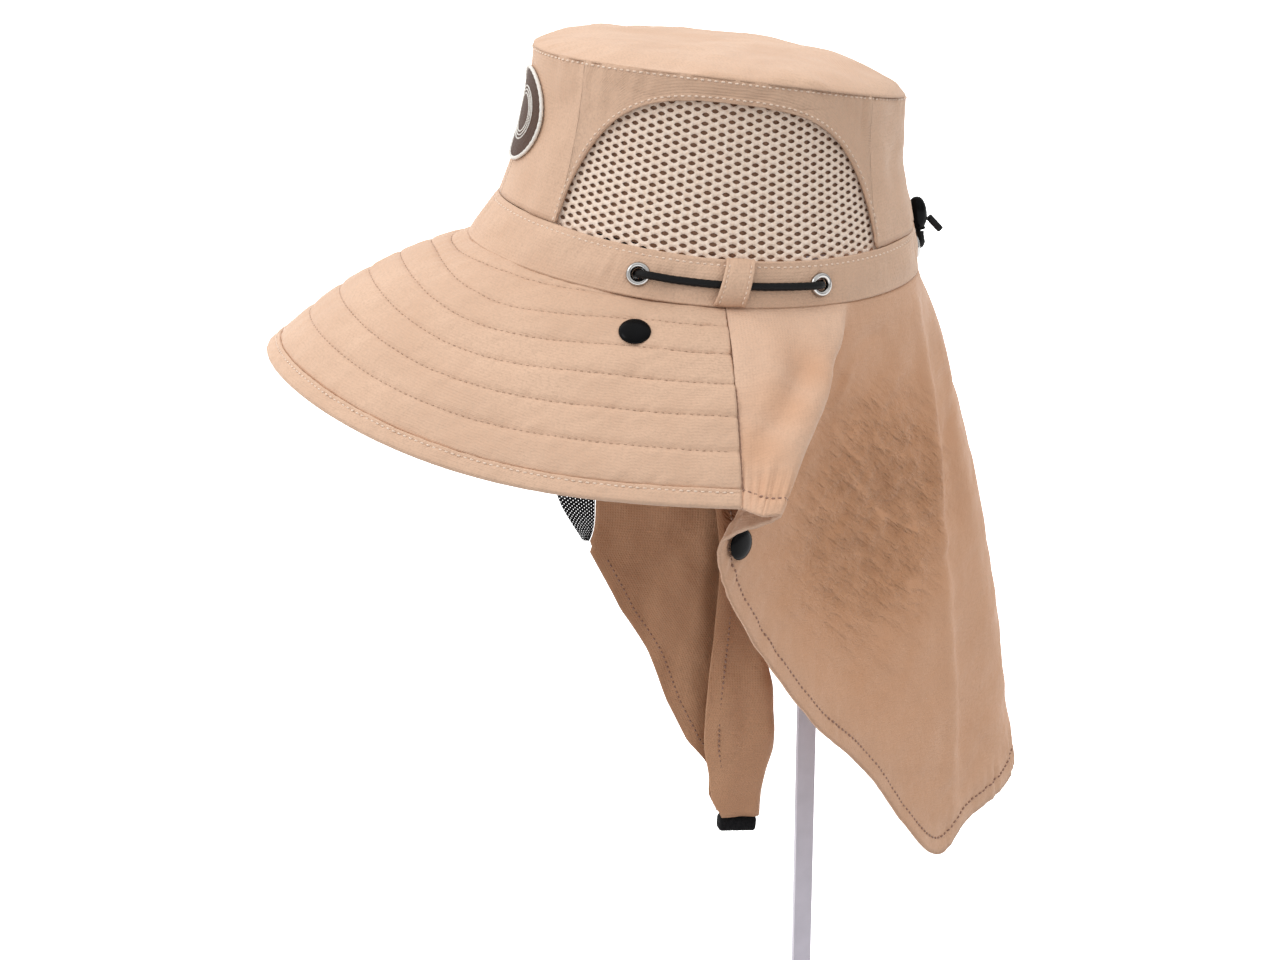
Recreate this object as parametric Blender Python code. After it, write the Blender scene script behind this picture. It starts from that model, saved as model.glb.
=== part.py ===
"""Ranger hat on a display stand.

Metres, +Z up. The hat's front faces -Y and the wearer's left is +X. The origin
is on the floor, under the middle of the head opening. Every shape of the hat is
written in the hat's own frame, whose origin is the middle of the head opening,
and an empty then lifts and tips the whole hat.
"""

import math

import bmesh
import bpy
from mathutils import Vector

# How the hat sits on its stand
HEAD_HEIGHT = 0.432
HAT_TIP = math.radians(5.1)

# Cloth and clearances
SHELL = 0.0016
BAND_WALL = 0.0018
BRIM_WALL = 0.0024
BINDING_WALL = 0.0036
NET = 0.0010
GAP = 0.0003

# Three ovals carry the crown: foot of the band, head of the band, top seam. The
# band and the crown lean in by these amounts, half way across the hat
FOOT_HALF_LENGTH = 0.1044
FOOT_HALF_WIDTH = 0.0870
FOOT_SHIFT = -0.0020
FOOT_RISE = 0.0022
FOOT_SAG = 0.0072
BAND_HEIGHT = 0.0194
BAND_LEAN_LENGTH = 0.0084
BAND_LEAN_WIDTH = 0.0046
CROWN_LEAN_LENGTH = 0.0110
CROWN_LEAN_WIDTH = 0.0107
HEAD_HALF_LENGTH = FOOT_HALF_LENGTH - BAND_LEAN_LENGTH
HEAD_HALF_WIDTH = FOOT_HALF_WIDTH - BAND_LEAN_WIDTH
HEAD_SHIFT = 0.0020
SEAM_HALF_LENGTH = HEAD_HALF_LENGTH - CROWN_LEAN_LENGTH
SEAM_HALF_WIDTH = HEAD_HALF_WIDTH - CROWN_LEAN_WIDTH
SEAM_HEIGHT = 0.0850
SEAM_SADDLE = 0.0050
SEAM_PITCH = 0.0050
WALL_SINK = 0.0030
TOP_DOME = 0.0115
TOP_SHOULDER = 4.5
TOP_LIP = 0.0015

# Arched window in each side wall
WINDOW_MIDDLE = math.radians(83.0)
WINDOW_HALF_ANGLE = math.radians(48.5)
WINDOW_TOP = 0.86
WINDOW_POWER = 3.0
NET_TURN_IN = math.radians(1.6)
NET_BACK = 0.0009

# Brim
BRIM_END = math.radians(86.6)
BRIM_FRONT = 0.1020
BRIM_SIDE_LOSS = 0.0060
SLOPE_FRONT = math.radians(16.2)
SLOPE_SIDE = math.radians(29.0)
SLOPE_QUARTER = math.radians(5.4)
CURL_FRONT = 5.9
CURL_SIDE = 5.0
BINDING = 0.0075

# Cord, eyelets and loops
CORD = 0.0035
EYELET = 0.0108
EYELET_HOLE = 0.0056
EYELET_DEEP = 0.0018
EYELET_FRONT = math.radians(63.7)
EYELET_REAR = math.radians(110.8)
EYELET_BACK = math.radians(174.2)
CORD_LEVEL = 0.43
BACK_LEVEL = 0.30
EYELETS = (
    ("eyelet_left_front", EYELET_FRONT, CORD_LEVEL),
    ("eyelet_left_rear", EYELET_REAR, CORD_LEVEL),
    ("eyelet_left_back", EYELET_BACK, BACK_LEVEL),
    ("eyelet_right_front", -EYELET_FRONT, CORD_LEVEL),
    ("eyelet_right_rear", -EYELET_REAR, CORD_LEVEL),
    ("eyelet_right_back", -EYELET_BACK, BACK_LEVEL),
)
LOOP_MIDDLE = math.radians(87.5)
LOOP_WIDTH = 0.0137
LOOP_WALL = 0.0014
LOCK_LENGTH = 0.0155
LOCK_WIDTH = 0.0088
LOCK_LOW = 0.0135
TAIL = 0.0085

# Snaps
SNAP = 0.0140
SNAP_DEEP = 0.0026
BRIM_SNAP_ANGLE = math.radians(66.8)
BRIM_SNAP_OUT = 0.0205
FLAP_START = 0.10
FLAP_SNAP_PLACE = 0.40
FLAP_SNAP_DOWN = 0.89
FLAP_SNAP_SEAT = 0.0014

# Neck flap: drop of its lowest corner below the head opening, and its bow
FLAP_DROP = 0.283
FLAP_BOW = 0.0095

# One row for each fold of the flap, from the brim's end round to the back:
# angle on the band, hem place as shares of the foot oval's half width and half
# length and of the drop, and share of the bow
FLAP_FOLDS = (
    {"angle": 102, "side": 1.908, "back": -0.04, "down": 0.263, "bow": 0.80},
    {"angle": 116, "side": 1.860, "back": 0.03, "down": 0.270, "bow": 0.90},
    {"angle": 121, "side": 1.560, "back": -0.125, "down": 0.352, "bow": 0.20},
    {"angle": 125, "side": 1.450, "back": 0.04, "down": 0.480, "bow": 0.00},
    {"angle": 134, "side": 1.207, "back": 0.45, "down": 0.676, "bow": 0.20},
    {"angle": 145, "side": 0.977, "back": 0.785, "down": 0.797, "bow": 0.60},
    {"angle": 157, "side": 0.690, "back": 1.245, "down": 0.993, "bow": 0.90},
    {"angle": 166, "side": 0.460, "back": 1.466, "down": 0.965, "bow": 0.90},
    {"angle": 173, "side": 0.230, "back": 1.724, "down": 0.932, "bow": 0.95},
    {"angle": 180, "side": 0.000, "back": 1.815, "down": 0.900, "bow": 1.00},
)

# Face cover: length of its hanging part and the places of its two layers
COVER_DROP = 0.3175
COVER_WALL = 0.0014
COVER_TOP = 0.0035
COVER_SEWN = 0.16

# One row for each height of the cover: depth as a share of the drop, then the
# far layer's front edge, the fold and the near layer's edge as shares of the
# foot oval's half length, and both layers' distance to the right as shares of
# its half width
COVER_ROWS = (
    {"down": 0.000, "edge": -0.300, "fold": 0.380, "inner": 0.100, "far": 0.86, "near": 0.72},
    {"down": 0.200, "edge": -0.340, "fold": 0.420, "inner": 0.200, "far": 0.84, "near": 0.69},
    {"down": 0.432, "edge": -0.426, "fold": 0.520, "inner": 0.330, "far": 0.80, "near": 0.65},
    {"down": 0.540, "edge": -0.238, "fold": 0.600, "inner": 0.390, "far": 0.80, "near": 0.64},
    {"down": 0.642, "edge": -0.053, "fold": 0.660, "inner": 0.400, "far": 0.80, "near": 0.64},
    {"down": 0.713, "edge": 0.102, "fold": 0.700, "inner": 0.400, "far": 0.80, "near": 0.64},
    {"down": 0.802, "edge": 0.223, "fold": 0.770, "inner": 0.400, "far": 0.80, "near": 0.64},
    {"down": 0.872, "edge": 0.345, "fold": 0.790, "inner": 0.415, "far": 0.79, "near": 0.65},
    {"down": 0.917, "edge": 0.465, "fold": 0.760, "inner": 0.450, "far": 0.78, "near": 0.66},
    {"down": 0.973, "edge": 0.490, "fold": 0.745, "inner": 0.490, "far": 0.77, "near": 0.68},
    {"down": 1.000, "edge": 0.535, "fold": 0.740, "inner": 0.545, "far": 0.76, "near": 0.69},
)

# Black net along the front edge of the far layer: where its seam reaches the
# edge, as a share of the drop, its width at the top, and the share of that width
# left at its foot
MESH_END = 0.532
MESH_WIDTH = 0.0260
MESH_FOOT = 0.10
NET_SEAM_GAP = 1.3 * GAP

# Tab at the cover's end
TAB_WIDTH = 0.0210
TAB_HEIGHT = 0.0085
TAB_DEEP = 0.0085
TAB_ROUND = 0.0010

# Patch on the crown's front
BADGE_HALF_ANGLE = math.radians(17.0)
BADGE_LOW = 0.26
BADGE_HIGH = 0.86
BADGE_WALL = 0.0008

# Stand
POST_PLACE = 0.0570
POST_WIDTH = 0.0090
POST_DEEP = 0.0040
PLATE_HALF_LENGTH = 0.0520
PLATE_HALF_WIDTH = 0.0440
PLATE_MIDDLE = 0.0120
PLATE_WALL = 0.0020
BASE_RADIUS = 0.0850
BASE_WALL = 0.0060
BASE_MIDDLE = 0.0300

COLORS = {
    "nylon": ((0.72, 0.50, 0.34, 1), 0.75, 0.0),
    "net": ((0.80, 0.68, 0.56, 1), 0.80, 0.0),
    "black_net": ((0.02, 0.02, 0.02, 1), 0.85, 0.0),
    "cord": ((0.01, 0.01, 0.012, 1), 0.60, 0.0),
    "snap": ((0.01, 0.01, 0.012, 1), 0.25, 0.0),
    "tab": ((0.01, 0.01, 0.012, 1), 0.90, 0.0),
    "chrome": ((0.80, 0.80, 0.80, 1), 0.15, 1.0),
    "badge": ((0.10, 0.05, 0.03, 1), 0.70, 0.0),
    "stand": ((0.45, 0.43, 0.47, 1), 0.45, 0.0),
}


def clear_scene():
    for obj in list(bpy.data.objects):
        bpy.data.objects.remove(obj, do_unlink=True)


def material(slot):
    found = bpy.data.materials.get(slot)
    if found:
        return found
    color, rough, metal = COLORS[slot]
    made = bpy.data.materials.new(slot)
    made.use_nodes = True
    shader = made.node_tree.nodes["Principled BSDF"]
    shader.inputs["Base Color"].default_value = color
    shader.inputs["Roughness"].default_value = rough
    shader.inputs["Metallic"].default_value = metal
    return made


def add_object(name, bm, slot, parent):
    bmesh.ops.recalc_face_normals(bm, faces=bm.faces)
    mesh = bpy.data.meshes.new(name)
    bm.to_mesh(mesh)
    bm.free()
    mesh.materials.append(material(slot))
    obj = bpy.data.objects.new(name, mesh)
    bpy.context.scene.collection.objects.link(obj)
    obj.parent = parent
    return obj


def spread(first, last, count):
    return [first + (last - first) * i / (count - 1) for i in range(count)]


def grid_normals(rows, ring):
    last = len(rows) - 1
    normals = []
    for i, row in enumerate(rows):
        before = rows[i - 1] if ring or i > 0 else row
        after = rows[(i + 1) % len(rows)] if ring or i < last else row
        line = []
        for j in range(len(row)):
            along = after[j] - before[j]
            across = row[min(j + 1, len(row) - 1)] - row[max(j - 1, 0)]
            line.append(along.cross(across).normalized())
        normals.append(line)
    return normals


def cloth_wall(name, point, us, vs, wall, slot, parent, ring=False):
    """A closed wall round the surface point(u, v), half of it on each side."""
    rows = [[point(u, v) for v in vs] for u in us]
    normals = grid_normals(rows, ring)
    bm = bmesh.new()
    sides = []
    for side in (0.5, -0.5):
        shifted = zip(rows, normals)
        sides.append([[bm.verts.new(p + n * wall * side) for p, n in zip(*pair)] for pair in shifted])
    outer, inner = sides
    count = len(us)
    spans = count if ring else count - 1
    for i in range(spans):
        k = (i + 1) % count
        for j in range(len(vs) - 1):
            bm.faces.new((outer[i][j], outer[k][j], outer[k][j + 1], outer[i][j + 1]))
            bm.faces.new((inner[i][j + 1], inner[k][j + 1], inner[k][j], inner[i][j]))
        bm.faces.new((inner[i][0], inner[k][0], outer[k][0], outer[i][0]))
        bm.faces.new((outer[i][-1], outer[k][-1], inner[k][-1], inner[i][-1]))
    if not ring:
        for i in (0, count - 1):
            for j in range(len(vs) - 1):
                bm.faces.new((outer[i][j], outer[i][j + 1], inner[i][j + 1], inner[i][j]))
    return add_object(name, bm, slot, parent)


def polar_wall(name, top, bottom, radii, turns, slot, parent):
    """A closed plate between two surfaces given by radius share and angle."""
    bm = bmesh.new()
    angles = [2 * math.pi * i / turns for i in range(turns)]
    centres = [bm.verts.new(side(0.0, 0.0)) for side in (top, bottom)]
    rings = [[[bm.verts.new(side(r, a)) for a in angles] for r in radii] for side in (top, bottom)]
    for centre, rows in zip(centres, rings):
        for i in range(turns):
            k = (i + 1) % turns
            bm.faces.new((centre, rows[0][i], rows[0][k]))
            for low, high in zip(rows, rows[1:]):
                bm.faces.new((low[i], high[i], high[k], low[k]))
    for i in range(turns):
        k = (i + 1) % turns
        bm.faces.new((rings[0][-1][i], rings[1][-1][i], rings[1][-1][k], rings[0][-1][k]))
    return add_object(name, bm, slot, parent)


def lathe(name, profile, turns, middle, axis, slot, parent, ring=False):
    """A turned solid: profile pairs of radius and height, along axis from middle."""
    axis = axis.normalized()
    side = axis.cross(Vector((0, 0, 1)) if abs(axis.z) < 0.9 else Vector((1, 0, 0))).normalized()
    other = axis.cross(side)
    bm = bmesh.new()
    rings = []
    for radius, height in profile:
        if radius == 0:
            rings.append([bm.verts.new(middle + axis * height)])
            continue
        angles = (2 * math.pi * i / turns for i in range(turns))
        round_points = (side * math.cos(a) * radius + other * math.sin(a) * radius for a in angles)
        rings.append([bm.verts.new(middle + axis * height + p) for p in round_points])
    pairs = list(zip(rings, rings[1:]))
    if ring:
        pairs.append((rings[-1], rings[0]))
    for low, high in pairs:
        for i in range(turns):
            k = (i + 1) % turns
            corners = [low[i % len(low)], low[k % len(low)], high[k % len(high)], high[i % len(high)]]
            bm.faces.new(list(dict.fromkeys(corners)))
    return add_object(name, bm, slot, parent)


def round_tube(name, points, width, slot, parent):
    curve = bpy.data.curves.new(name, "CURVE")
    curve.dimensions = "3D"
    curve.bevel_depth = width / 2
    curve.bevel_resolution = 1
    curve.use_fill_caps = True
    curve.materials.append(material(slot))
    spline = curve.splines.new("POLY")
    spline.points.add(len(points) - 1)
    for slot_point, point in zip(spline.points, points):
        slot_point.co = (*point, 1)
    obj = bpy.data.objects.new(name, curve)
    bpy.context.scene.collection.objects.link(obj)
    obj.parent = parent
    return obj


# Surfaces of the hat


def outward(angle, half_length=FOOT_HALF_LENGTH, half_width=FOOT_HALF_WIDTH):
    return Vector((half_length * math.sin(angle), -half_width * math.cos(angle), 0)).normalized()


def oval(angle, half_length, half_width, shift, height):
    return Vector((half_width * math.sin(angle), shift - half_length * math.cos(angle), height))


def foot(angle):
    height = FOOT_RISE - FOOT_SAG * math.sin(angle) ** 2
    return oval(angle, FOOT_HALF_LENGTH, FOOT_HALF_WIDTH, FOOT_SHIFT, height)


def head(angle):
    height = FOOT_RISE + BAND_HEIGHT - FOOT_SAG * math.sin(angle) ** 2
    return oval(angle, HEAD_HALF_LENGTH, HEAD_HALF_WIDTH, HEAD_SHIFT, height)


def seam(angle):
    height = SEAM_HEIGHT + SEAM_SADDLE * math.sin(angle) ** 2 + SEAM_PITCH * math.cos(angle)
    return oval(angle, SEAM_HALF_LENGTH, SEAM_HALF_WIDTH, HEAD_SHIFT, height)


def crown(angle, rise):
    """The crown's wall, from the band (0) up to the top seam (1)."""
    flat = head(angle).lerp(seam(angle), rise)
    return flat - outward(angle) * WALL_SINK * math.sin(math.pi * rise)


def band(angle, rise):
    return foot(angle).lerp(head(angle), rise)


def window_rise(angle):
    """Height of the arch over this angle, as a share of the wall, or 0 outside it."""
    share = abs(abs(angle) - WINDOW_MIDDLE) / WINDOW_HALF_ANGLE
    if share >= 1:
        return 0.0
    return WINDOW_TOP * math.sqrt(1 - share**WINDOW_POWER)


def slope_and_curl(angle):
    side = math.sin(angle) ** 2
    slope = SLOPE_FRONT + (SLOPE_SIDE - SLOPE_FRONT) * side
    slope += SLOPE_QUARTER * math.sin(2 * angle) ** 2
    return slope, CURL_FRONT + (CURL_SIDE - CURL_FRONT) * side


def brim_width(angle):
    return BRIM_FRONT - BRIM_SIDE_LOSS * math.sin(angle) ** 2


def brim_out(angle, out):
    """The brim's middle surface, a distance out from the band, bending down as it goes."""
    slope, curl = slope_and_curl(angle)
    bend = curl * out * out / 2
    flat = out * math.cos(slope) - bend * math.sin(slope)
    drop = out * math.sin(slope) + bend * math.cos(slope)
    start = foot(angle) - Vector((0, 0, BRIM_WALL / 2 + 2 * GAP))
    return start + outward(angle) * flat - Vector((0, 0, drop))


def brim_in(angle, inward):
    """The same surface, measured in from the brim's outer edge."""
    return brim_out(angle, brim_width(angle) - inward)


def smooth(values, place):
    """Catmull-Rom curve through a list, at a place counted in steps."""
    last = len(values) - 1
    step = min(int(place), last - 1)
    t = place - step
    p0, p1, p2, p3 = (values[min(max(step + k, 0), last)] for k in (-1, 0, 1, 2))
    cubic = (3 * p1 - 3 * p2 + p3 - p0) * t**3
    return p1 + ((p2 - p0) * t + (2 * p0 - 5 * p1 + 4 * p2 - p3) * t**2 + cubic) / 2


def flap_columns(side):
    """Angle, hem point and bow of each fold on one side, from the brim's end to the back."""
    angles = [BRIM_END]
    hems = [brim_in(BRIM_END, 0.0)]
    bows = [CURL_SIDE * brim_width(BRIM_END) ** 2 / 8]
    for row in FLAP_FOLDS:
        angles.append(math.radians(row["angle"]))
        across = FOOT_HALF_WIDTH * row["side"]
        hems.append(Vector((across, FOOT_HALF_LENGTH * row["back"], -FLAP_DROP * row["down"])))
        bows.append(FLAP_BOW * row["bow"])
    mirrored = [Vector((h.x * side, h.y, h.z)) for h in hems]
    return [a * side for a in angles], mirrored, bows


LEFT_ANGLES, LEFT_HEMS, LEFT_BOWS = flap_columns(1)
RIGHT_ANGLES, RIGHT_HEMS, RIGHT_BOWS = flap_columns(-1)
FLAP_ANGLES = LEFT_ANGLES + [2 * math.pi + a for a in RIGHT_ANGLES[-2::-1]]
FLAP_HEMS = LEFT_HEMS + RIGHT_HEMS[-2::-1]
FLAP_BOWS = LEFT_BOWS + RIGHT_BOWS[-2::-1]
FLAP_STEPS = len(FLAP_ANGLES) - 1


def flap(place, down):
    """The neck flap's middle surface: place in folds from the left end, down from 0 to 1."""
    angle = smooth(FLAP_ANGLES, place)
    hem = smooth(FLAP_HEMS, place)
    start = foot(angle) - Vector((0, 0, SHELL / 2 + GAP))
    chord = hem - start
    along = chord.normalized()
    out = outward(angle)
    push = (out - along * out.dot(along)).normalized()
    bow = smooth(FLAP_BOWS, place) * math.sin(math.pi * down**0.75)
    return start + chord * down + push * bow


def cover_row(down):
    """One height of the cover: the row's shares at this depth."""
    depths = [row["down"] for row in COVER_ROWS]
    step = 0
    while step < len(depths) - 2 and down > depths[step + 1]:
        step += 1
    share = (down - depths[step]) / (depths[step + 1] - depths[step])
    keys = ("edge", "fold", "inner", "far", "near")
    return {key: smooth([row[key] for row in COVER_ROWS], step + share) for key in keys}


def inside_band(along):
    """How far right the band's inner face lies at a place along the hat, less a cloth's seat."""
    share = (along - FOOT_SHIFT) / FOOT_HALF_LENGTH
    seat = BAND_WALL / 2 + COVER_WALL / 2 + GAP
    return FOOT_HALF_WIDTH * math.sqrt(1 - share * share) - seat


def cover(across, down):
    """The face cover: across from the far front edge (0) round the fold to the inner edge (1)."""
    row = cover_row(down)
    far = FOOT_HALF_WIDTH * row["far"]
    near = FOOT_HALF_WIDTH * row["near"]
    edge, fold, inner = (FOOT_HALF_LENGTH * row[key] for key in ("edge", "fold", "inner"))
    turn = (far - near) / 2
    height = -COVER_TOP - (COVER_DROP - COVER_TOP) * down
    if across < 0.5:
        along = edge + (fold - turn - edge) * across / 0.5
        sewn = max(0.0, 1 - down / COVER_SEWN) * (1 - across / 0.5) ** 0.25
        return Vector((-far - (inside_band(along) - far) * sewn, along, height))
    if across < 0.62:
        sweep = math.pi * (across - 0.5) / 0.12
        middle = (far + near) / 2 + turn * math.cos(sweep)
        return Vector((-middle, fold - turn + turn * math.sin(sweep), height))
    share = (across - 0.62) / 0.38
    return Vector((-near, fold - turn + (inner - fold + turn) * share, height))


def far_layer(down):
    """Length of the far layer at this depth."""
    row = cover_row(down)
    turn = FOOT_HALF_WIDTH * (row["far"] - row["near"]) / 2
    return FOOT_HALF_LENGTH * (row["fold"] - row["edge"]) - turn


def mesh_share(down):
    """Width of the black net at this depth, as a share of the whole cover."""
    if down > MESH_END:
        return 0.0
    width = MESH_WIDTH * max(MESH_FOOT, 1 - (down / MESH_END) ** 8)
    return 0.5 * width / far_layer(down)


# Pieces of the hat


def build_crown(hat):
    def top(share, angle):
        edge = seam(angle) + outward(angle) * TOP_LIP
        middle = Vector((0, HEAD_SHIFT, SEAM_HEIGHT + TOP_DOME))
        flat = middle.lerp(edge, share)
        flat.z = edge.z + (SEAM_HEIGHT + TOP_DOME - edge.z) * (1 - share**TOP_SHOULDER)
        return flat

    def under(share, angle):
        return top(share, angle) - Vector((0, 0, SHELL))

    polar_wall("crown_top", top, under, (0.4, 0.65, 0.8, 0.91, 1.0), 48, "nylon", hat)

    first = WINDOW_MIDDLE - WINDOW_HALF_ANGLE
    last = WINDOW_MIDDLE + WINDOW_HALF_ANGLE
    edge = math.radians(0.15)
    inside = (0.02, 0.08, 0.18, 0.3, 0.42, 0.5, 0.58, 0.7, 0.82, 0.92, 0.98)
    opening = [first + (last - first) * share for share in inside]
    side = [first - edge, first + edge, *opening, last - edge, last + edge]
    front = spread(0.0, first - 4 * edge, 6)
    back = spread(last + 4 * edge, math.pi, 6)
    half = front + side + back
    angles = half + [2 * math.pi - a for a in half[-2:0:-1]]
    lift = (SHELL + GAP) / (SEAM_HEIGHT - BAND_HEIGHT)

    def wall(angle, share):
        signed = angle if angle <= math.pi else angle - 2 * math.pi
        low = max(window_rise(signed), GAP / SEAM_HEIGHT)
        return crown(signed, low + (1 - lift - low) * share)

    cloth_wall("crown_wall", wall, angles, spread(0, 1, 6), SHELL, "nylon", hat, ring=True)


def build_vents(hat):
    reach = WINDOW_HALF_ANGLE + NET_TURN_IN
    set_in = SHELL / 2 + NET / 2 + NET_BACK
    shares = (-1, -0.985, -0.94, -0.86, -0.72, -0.54, -0.3, 0, 0.3, 0.54, 0.72, 0.86, 0.94, 0.985, 1)
    for name, side in (("vent_mesh_left", 1), ("vent_mesh_right", -1)):

        def net(share, rise, side=side):
            angle = WINDOW_MIDDLE + share * reach
            high = 0.05 + (WINDOW_TOP - 0.02) * math.sqrt(max(0.0, 1 - abs(share) ** WINDOW_POWER))
            return crown(side * angle, 0.008 + (high - 0.008) * rise) - outward(side * angle) * set_in

        cloth_wall(name, net, shares, spread(0, 1, 6), NET, "net", hat)


def build_band(hat):
    angles = [2 * math.pi * i / 60 for i in range(60)]
    obj = cloth_wall("hat_band", band, angles, (0.0, 0.5, 0.985), BAND_WALL, "nylon", hat, ring=True)
    reach = 4 * BAND_WALL
    radius = EYELET_HOLE / 2
    profile = ((0, -reach), (radius, -reach), (radius, reach), (0, reach))
    for name, angle, level in EYELETS:
        drill = lathe("hole_" + name, profile, 12, band(angle, level), band_out(angle), "nylon", hat)
        drill.hide_render = True
        drill.display_type = "WIRE"
        cut = obj.modifiers.new(name, "BOOLEAN")
        cut.operation = "DIFFERENCE"
        cut.object = drill


def band_out(angle):
    """The band's outward normal."""
    along = band(angle + 0.01, 0.5) - band(angle - 0.01, 0.5)
    return along.cross(head(angle) - foot(angle)).normalized()


def build_eyelets(hat):
    low = BAND_WALL / 2 + GAP
    inner, outer, high = EYELET_HOLE / 2, EYELET / 2, low + EYELET_DEEP
    crest = (inner + outer) / 2
    profile = ((inner, low), (inner, high), (crest, high + GAP), (outer, low + GAP), (outer, low))
    for name, angle, level in EYELETS:
        lathe(name, profile, 16, band(angle, level), band_out(angle), "chrome", hat, ring=True)


def cord_point(angle, off, level=CORD_LEVEL):
    return band(angle, level) + band_out(angle) * off


def through_eyelet(angle, toward, level=CORD_LEVEL):
    """Points from inside the band, through the eyelet, to its outer face towards one side."""
    inside = -(BAND_WALL / 2 + CORD / 2 + 2 * GAP)
    outside = BAND_WALL / 2 + EYELET_DEEP + CORD / 2 + 3 * GAP
    turn = toward * EYELET / FOOT_HALF_LENGTH
    points = [cord_point(angle - 0.67 * turn, inside, level)]
    points += [cord_point(angle - 0.09 * turn, inside * 0.8, level)]
    points += [cord_point(angle, 0.0, level)]
    points += [cord_point(angle + 0.05 * turn, outside * 0.72, level)]
    points += [cord_point(angle + 0.27 * turn, outside * 0.97, level)]
    points += [cord_point(angle + 0.65 * turn, outside, level)]
    return points


def cord_route():
    """The cord's middle line, from under the lock round by the left and back by the right."""
    inside = -(BAND_WALL / 2 + CORD / 2 + 2 * GAP)
    outside = BAND_WALL / 2 + CORD / 2 + 2 * GAP
    end = lock_foot() + Vector((0.6 * CORD, 0, -3 * GAP))
    out_back = through_eyelet(EYELET_BACK, 1, BACK_LEVEL)[:5]
    half = [end, end - Vector((0, 0, CORD * 0.4))] + out_back[::-1]
    half += [cord_point(a, inside) for a in spread(EYELET_BACK - 0.15, EYELET_REAR + 0.15, 7)]
    half += through_eyelet(EYELET_REAR, -1)
    half += [cord_point(a, outside) for a in spread(EYELET_REAR - 0.15, EYELET_FRONT + 0.15, 5)]
    half += through_eyelet(EYELET_FRONT, 1)[::-1]
    half += [cord_point(a, inside) for a in spread(EYELET_FRONT - 0.15, 0.07, 8)]
    return half + [Vector((-p.x, p.y, p.z)) for p in reversed(half)]


def build_cord(hat):
    round_tube("drawcord", cord_route(), CORD, "cord", hat)


def build_loops(hat):
    stand_off = CORD + 3 * GAP
    low = BAND_WALL / 2 + LOOP_WALL / 2 + GAP
    for name, side in (("belt_loop_left", 1), ("belt_loop_right", -1)):
        middle = LOOP_MIDDLE * side
        half_turn = LOOP_WIDTH / 2 / FOOT_HALF_LENGTH

        def strap(share, rise, middle=middle, half_turn=half_turn):
            angle = middle + half_turn * share
            flat = band(angle, rise)
            lift = low + stand_off * math.sin(math.pi * rise) ** 0.6
            return flat + band_out(middle) * lift

        cloth_wall(name, strap, (-1, 0, 1), (0.0, 0.06, 0.2, 0.5, 0.8, 0.94, 1.0), LOOP_WALL, "nylon", hat)


def build_brim(hat):
    angles = spread(-BRIM_END, BRIM_END, 41)
    start = BRIM_WALL / 2

    def quilt(angle, share):
        last = brim_width(angle) - BINDING - GAP
        return brim_out(angle, start + (last - start) * share)

    cloth_wall("brim", quilt, angles, spread(0, 1, 6), BRIM_WALL, "nylon", hat)

    def fold(angle, share):
        return brim_in(angle, BINDING * (1 - share))

    cloth_wall("brim_binding", fold, angles, (0, 0.5, 1), BINDING_WALL, "nylon", hat)


def snap_profile(seat):
    radius = SNAP / 2
    return (
        (0, seat),
        (radius * 0.9, seat),
        (radius, seat + SNAP_DEEP * 0.3),
        (radius * 0.82, seat + SNAP_DEEP * 0.75),
        (radius * 0.45, seat + SNAP_DEEP * 0.95),
        (0, seat + SNAP_DEEP),
    )


def surface_normal(point, u, v, step_u, step_v):
    along = point(u + step_u, v) - point(u - step_u, v)
    across = point(u, v + step_v) - point(u, v - step_v)
    return along.cross(across).normalized()


def build_snaps(hat):
    for name, side in (("brim_snap_left", 1), ("brim_snap_right", -1)):
        angle = BRIM_SNAP_ANGLE * side
        up = surface_normal(brim_out, angle, BRIM_SNAP_OUT, 0.02, 0.002)
        up = up if up.z > 0 else -up
        seat = BRIM_WALL / 2 + 2 * GAP
        lathe(name, snap_profile(seat), 16, brim_out(angle, BRIM_SNAP_OUT), up, "snap", hat)
    for name, side in (("flap_snap_left", 1), ("flap_snap_right", -1)):
        place = 3 + FLAP_SNAP_PLACE
        place = place if side > 0 else FLAP_STEPS - place
        out = surface_normal(flap, place, FLAP_SNAP_DOWN, 0.05, 0.02)
        middle = flap(place, FLAP_SNAP_DOWN)
        out = out if out.x * middle.x > 0 else -out
        seat = SHELL / 2 + FLAP_SNAP_SEAT
        lathe(name, snap_profile(seat), 16, middle, out, "snap", hat)


def build_flap(hat):
    places = spread(FLAP_START, FLAP_STEPS - FLAP_START, 67)
    cloth_wall("neck_flap", flap, places, spread(0, 1, 8), SHELL, "nylon", hat)


def build_cover(hat):
    net_depths = spread(0, MESH_END, 9)
    depths = net_depths + spread(MESH_END + 0.01, 1, 7)
    shares = (0, 0.12, 0.25, 0.38, 0.5, 0.53, 0.56, 0.59, 0.62, 0.75, 0.88, 1)

    def sheet(share, down):
        if share >= 0.5:
            return cover(share, down)
        first = mesh_share(down) + 0.5 * NET_SEAM_GAP / far_layer(down)
        return cover(first + (0.5 - first) * share / 0.5, down)

    cloth_wall("face_cover", sheet, shares, depths, COVER_WALL, "nylon", hat)

    def net(share, down):
        return cover(mesh_share(down) * share, down)

    cloth_wall("face_mesh", net, (0, 0.5, 1), net_depths, COVER_WALL, "black_net", hat)


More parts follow.
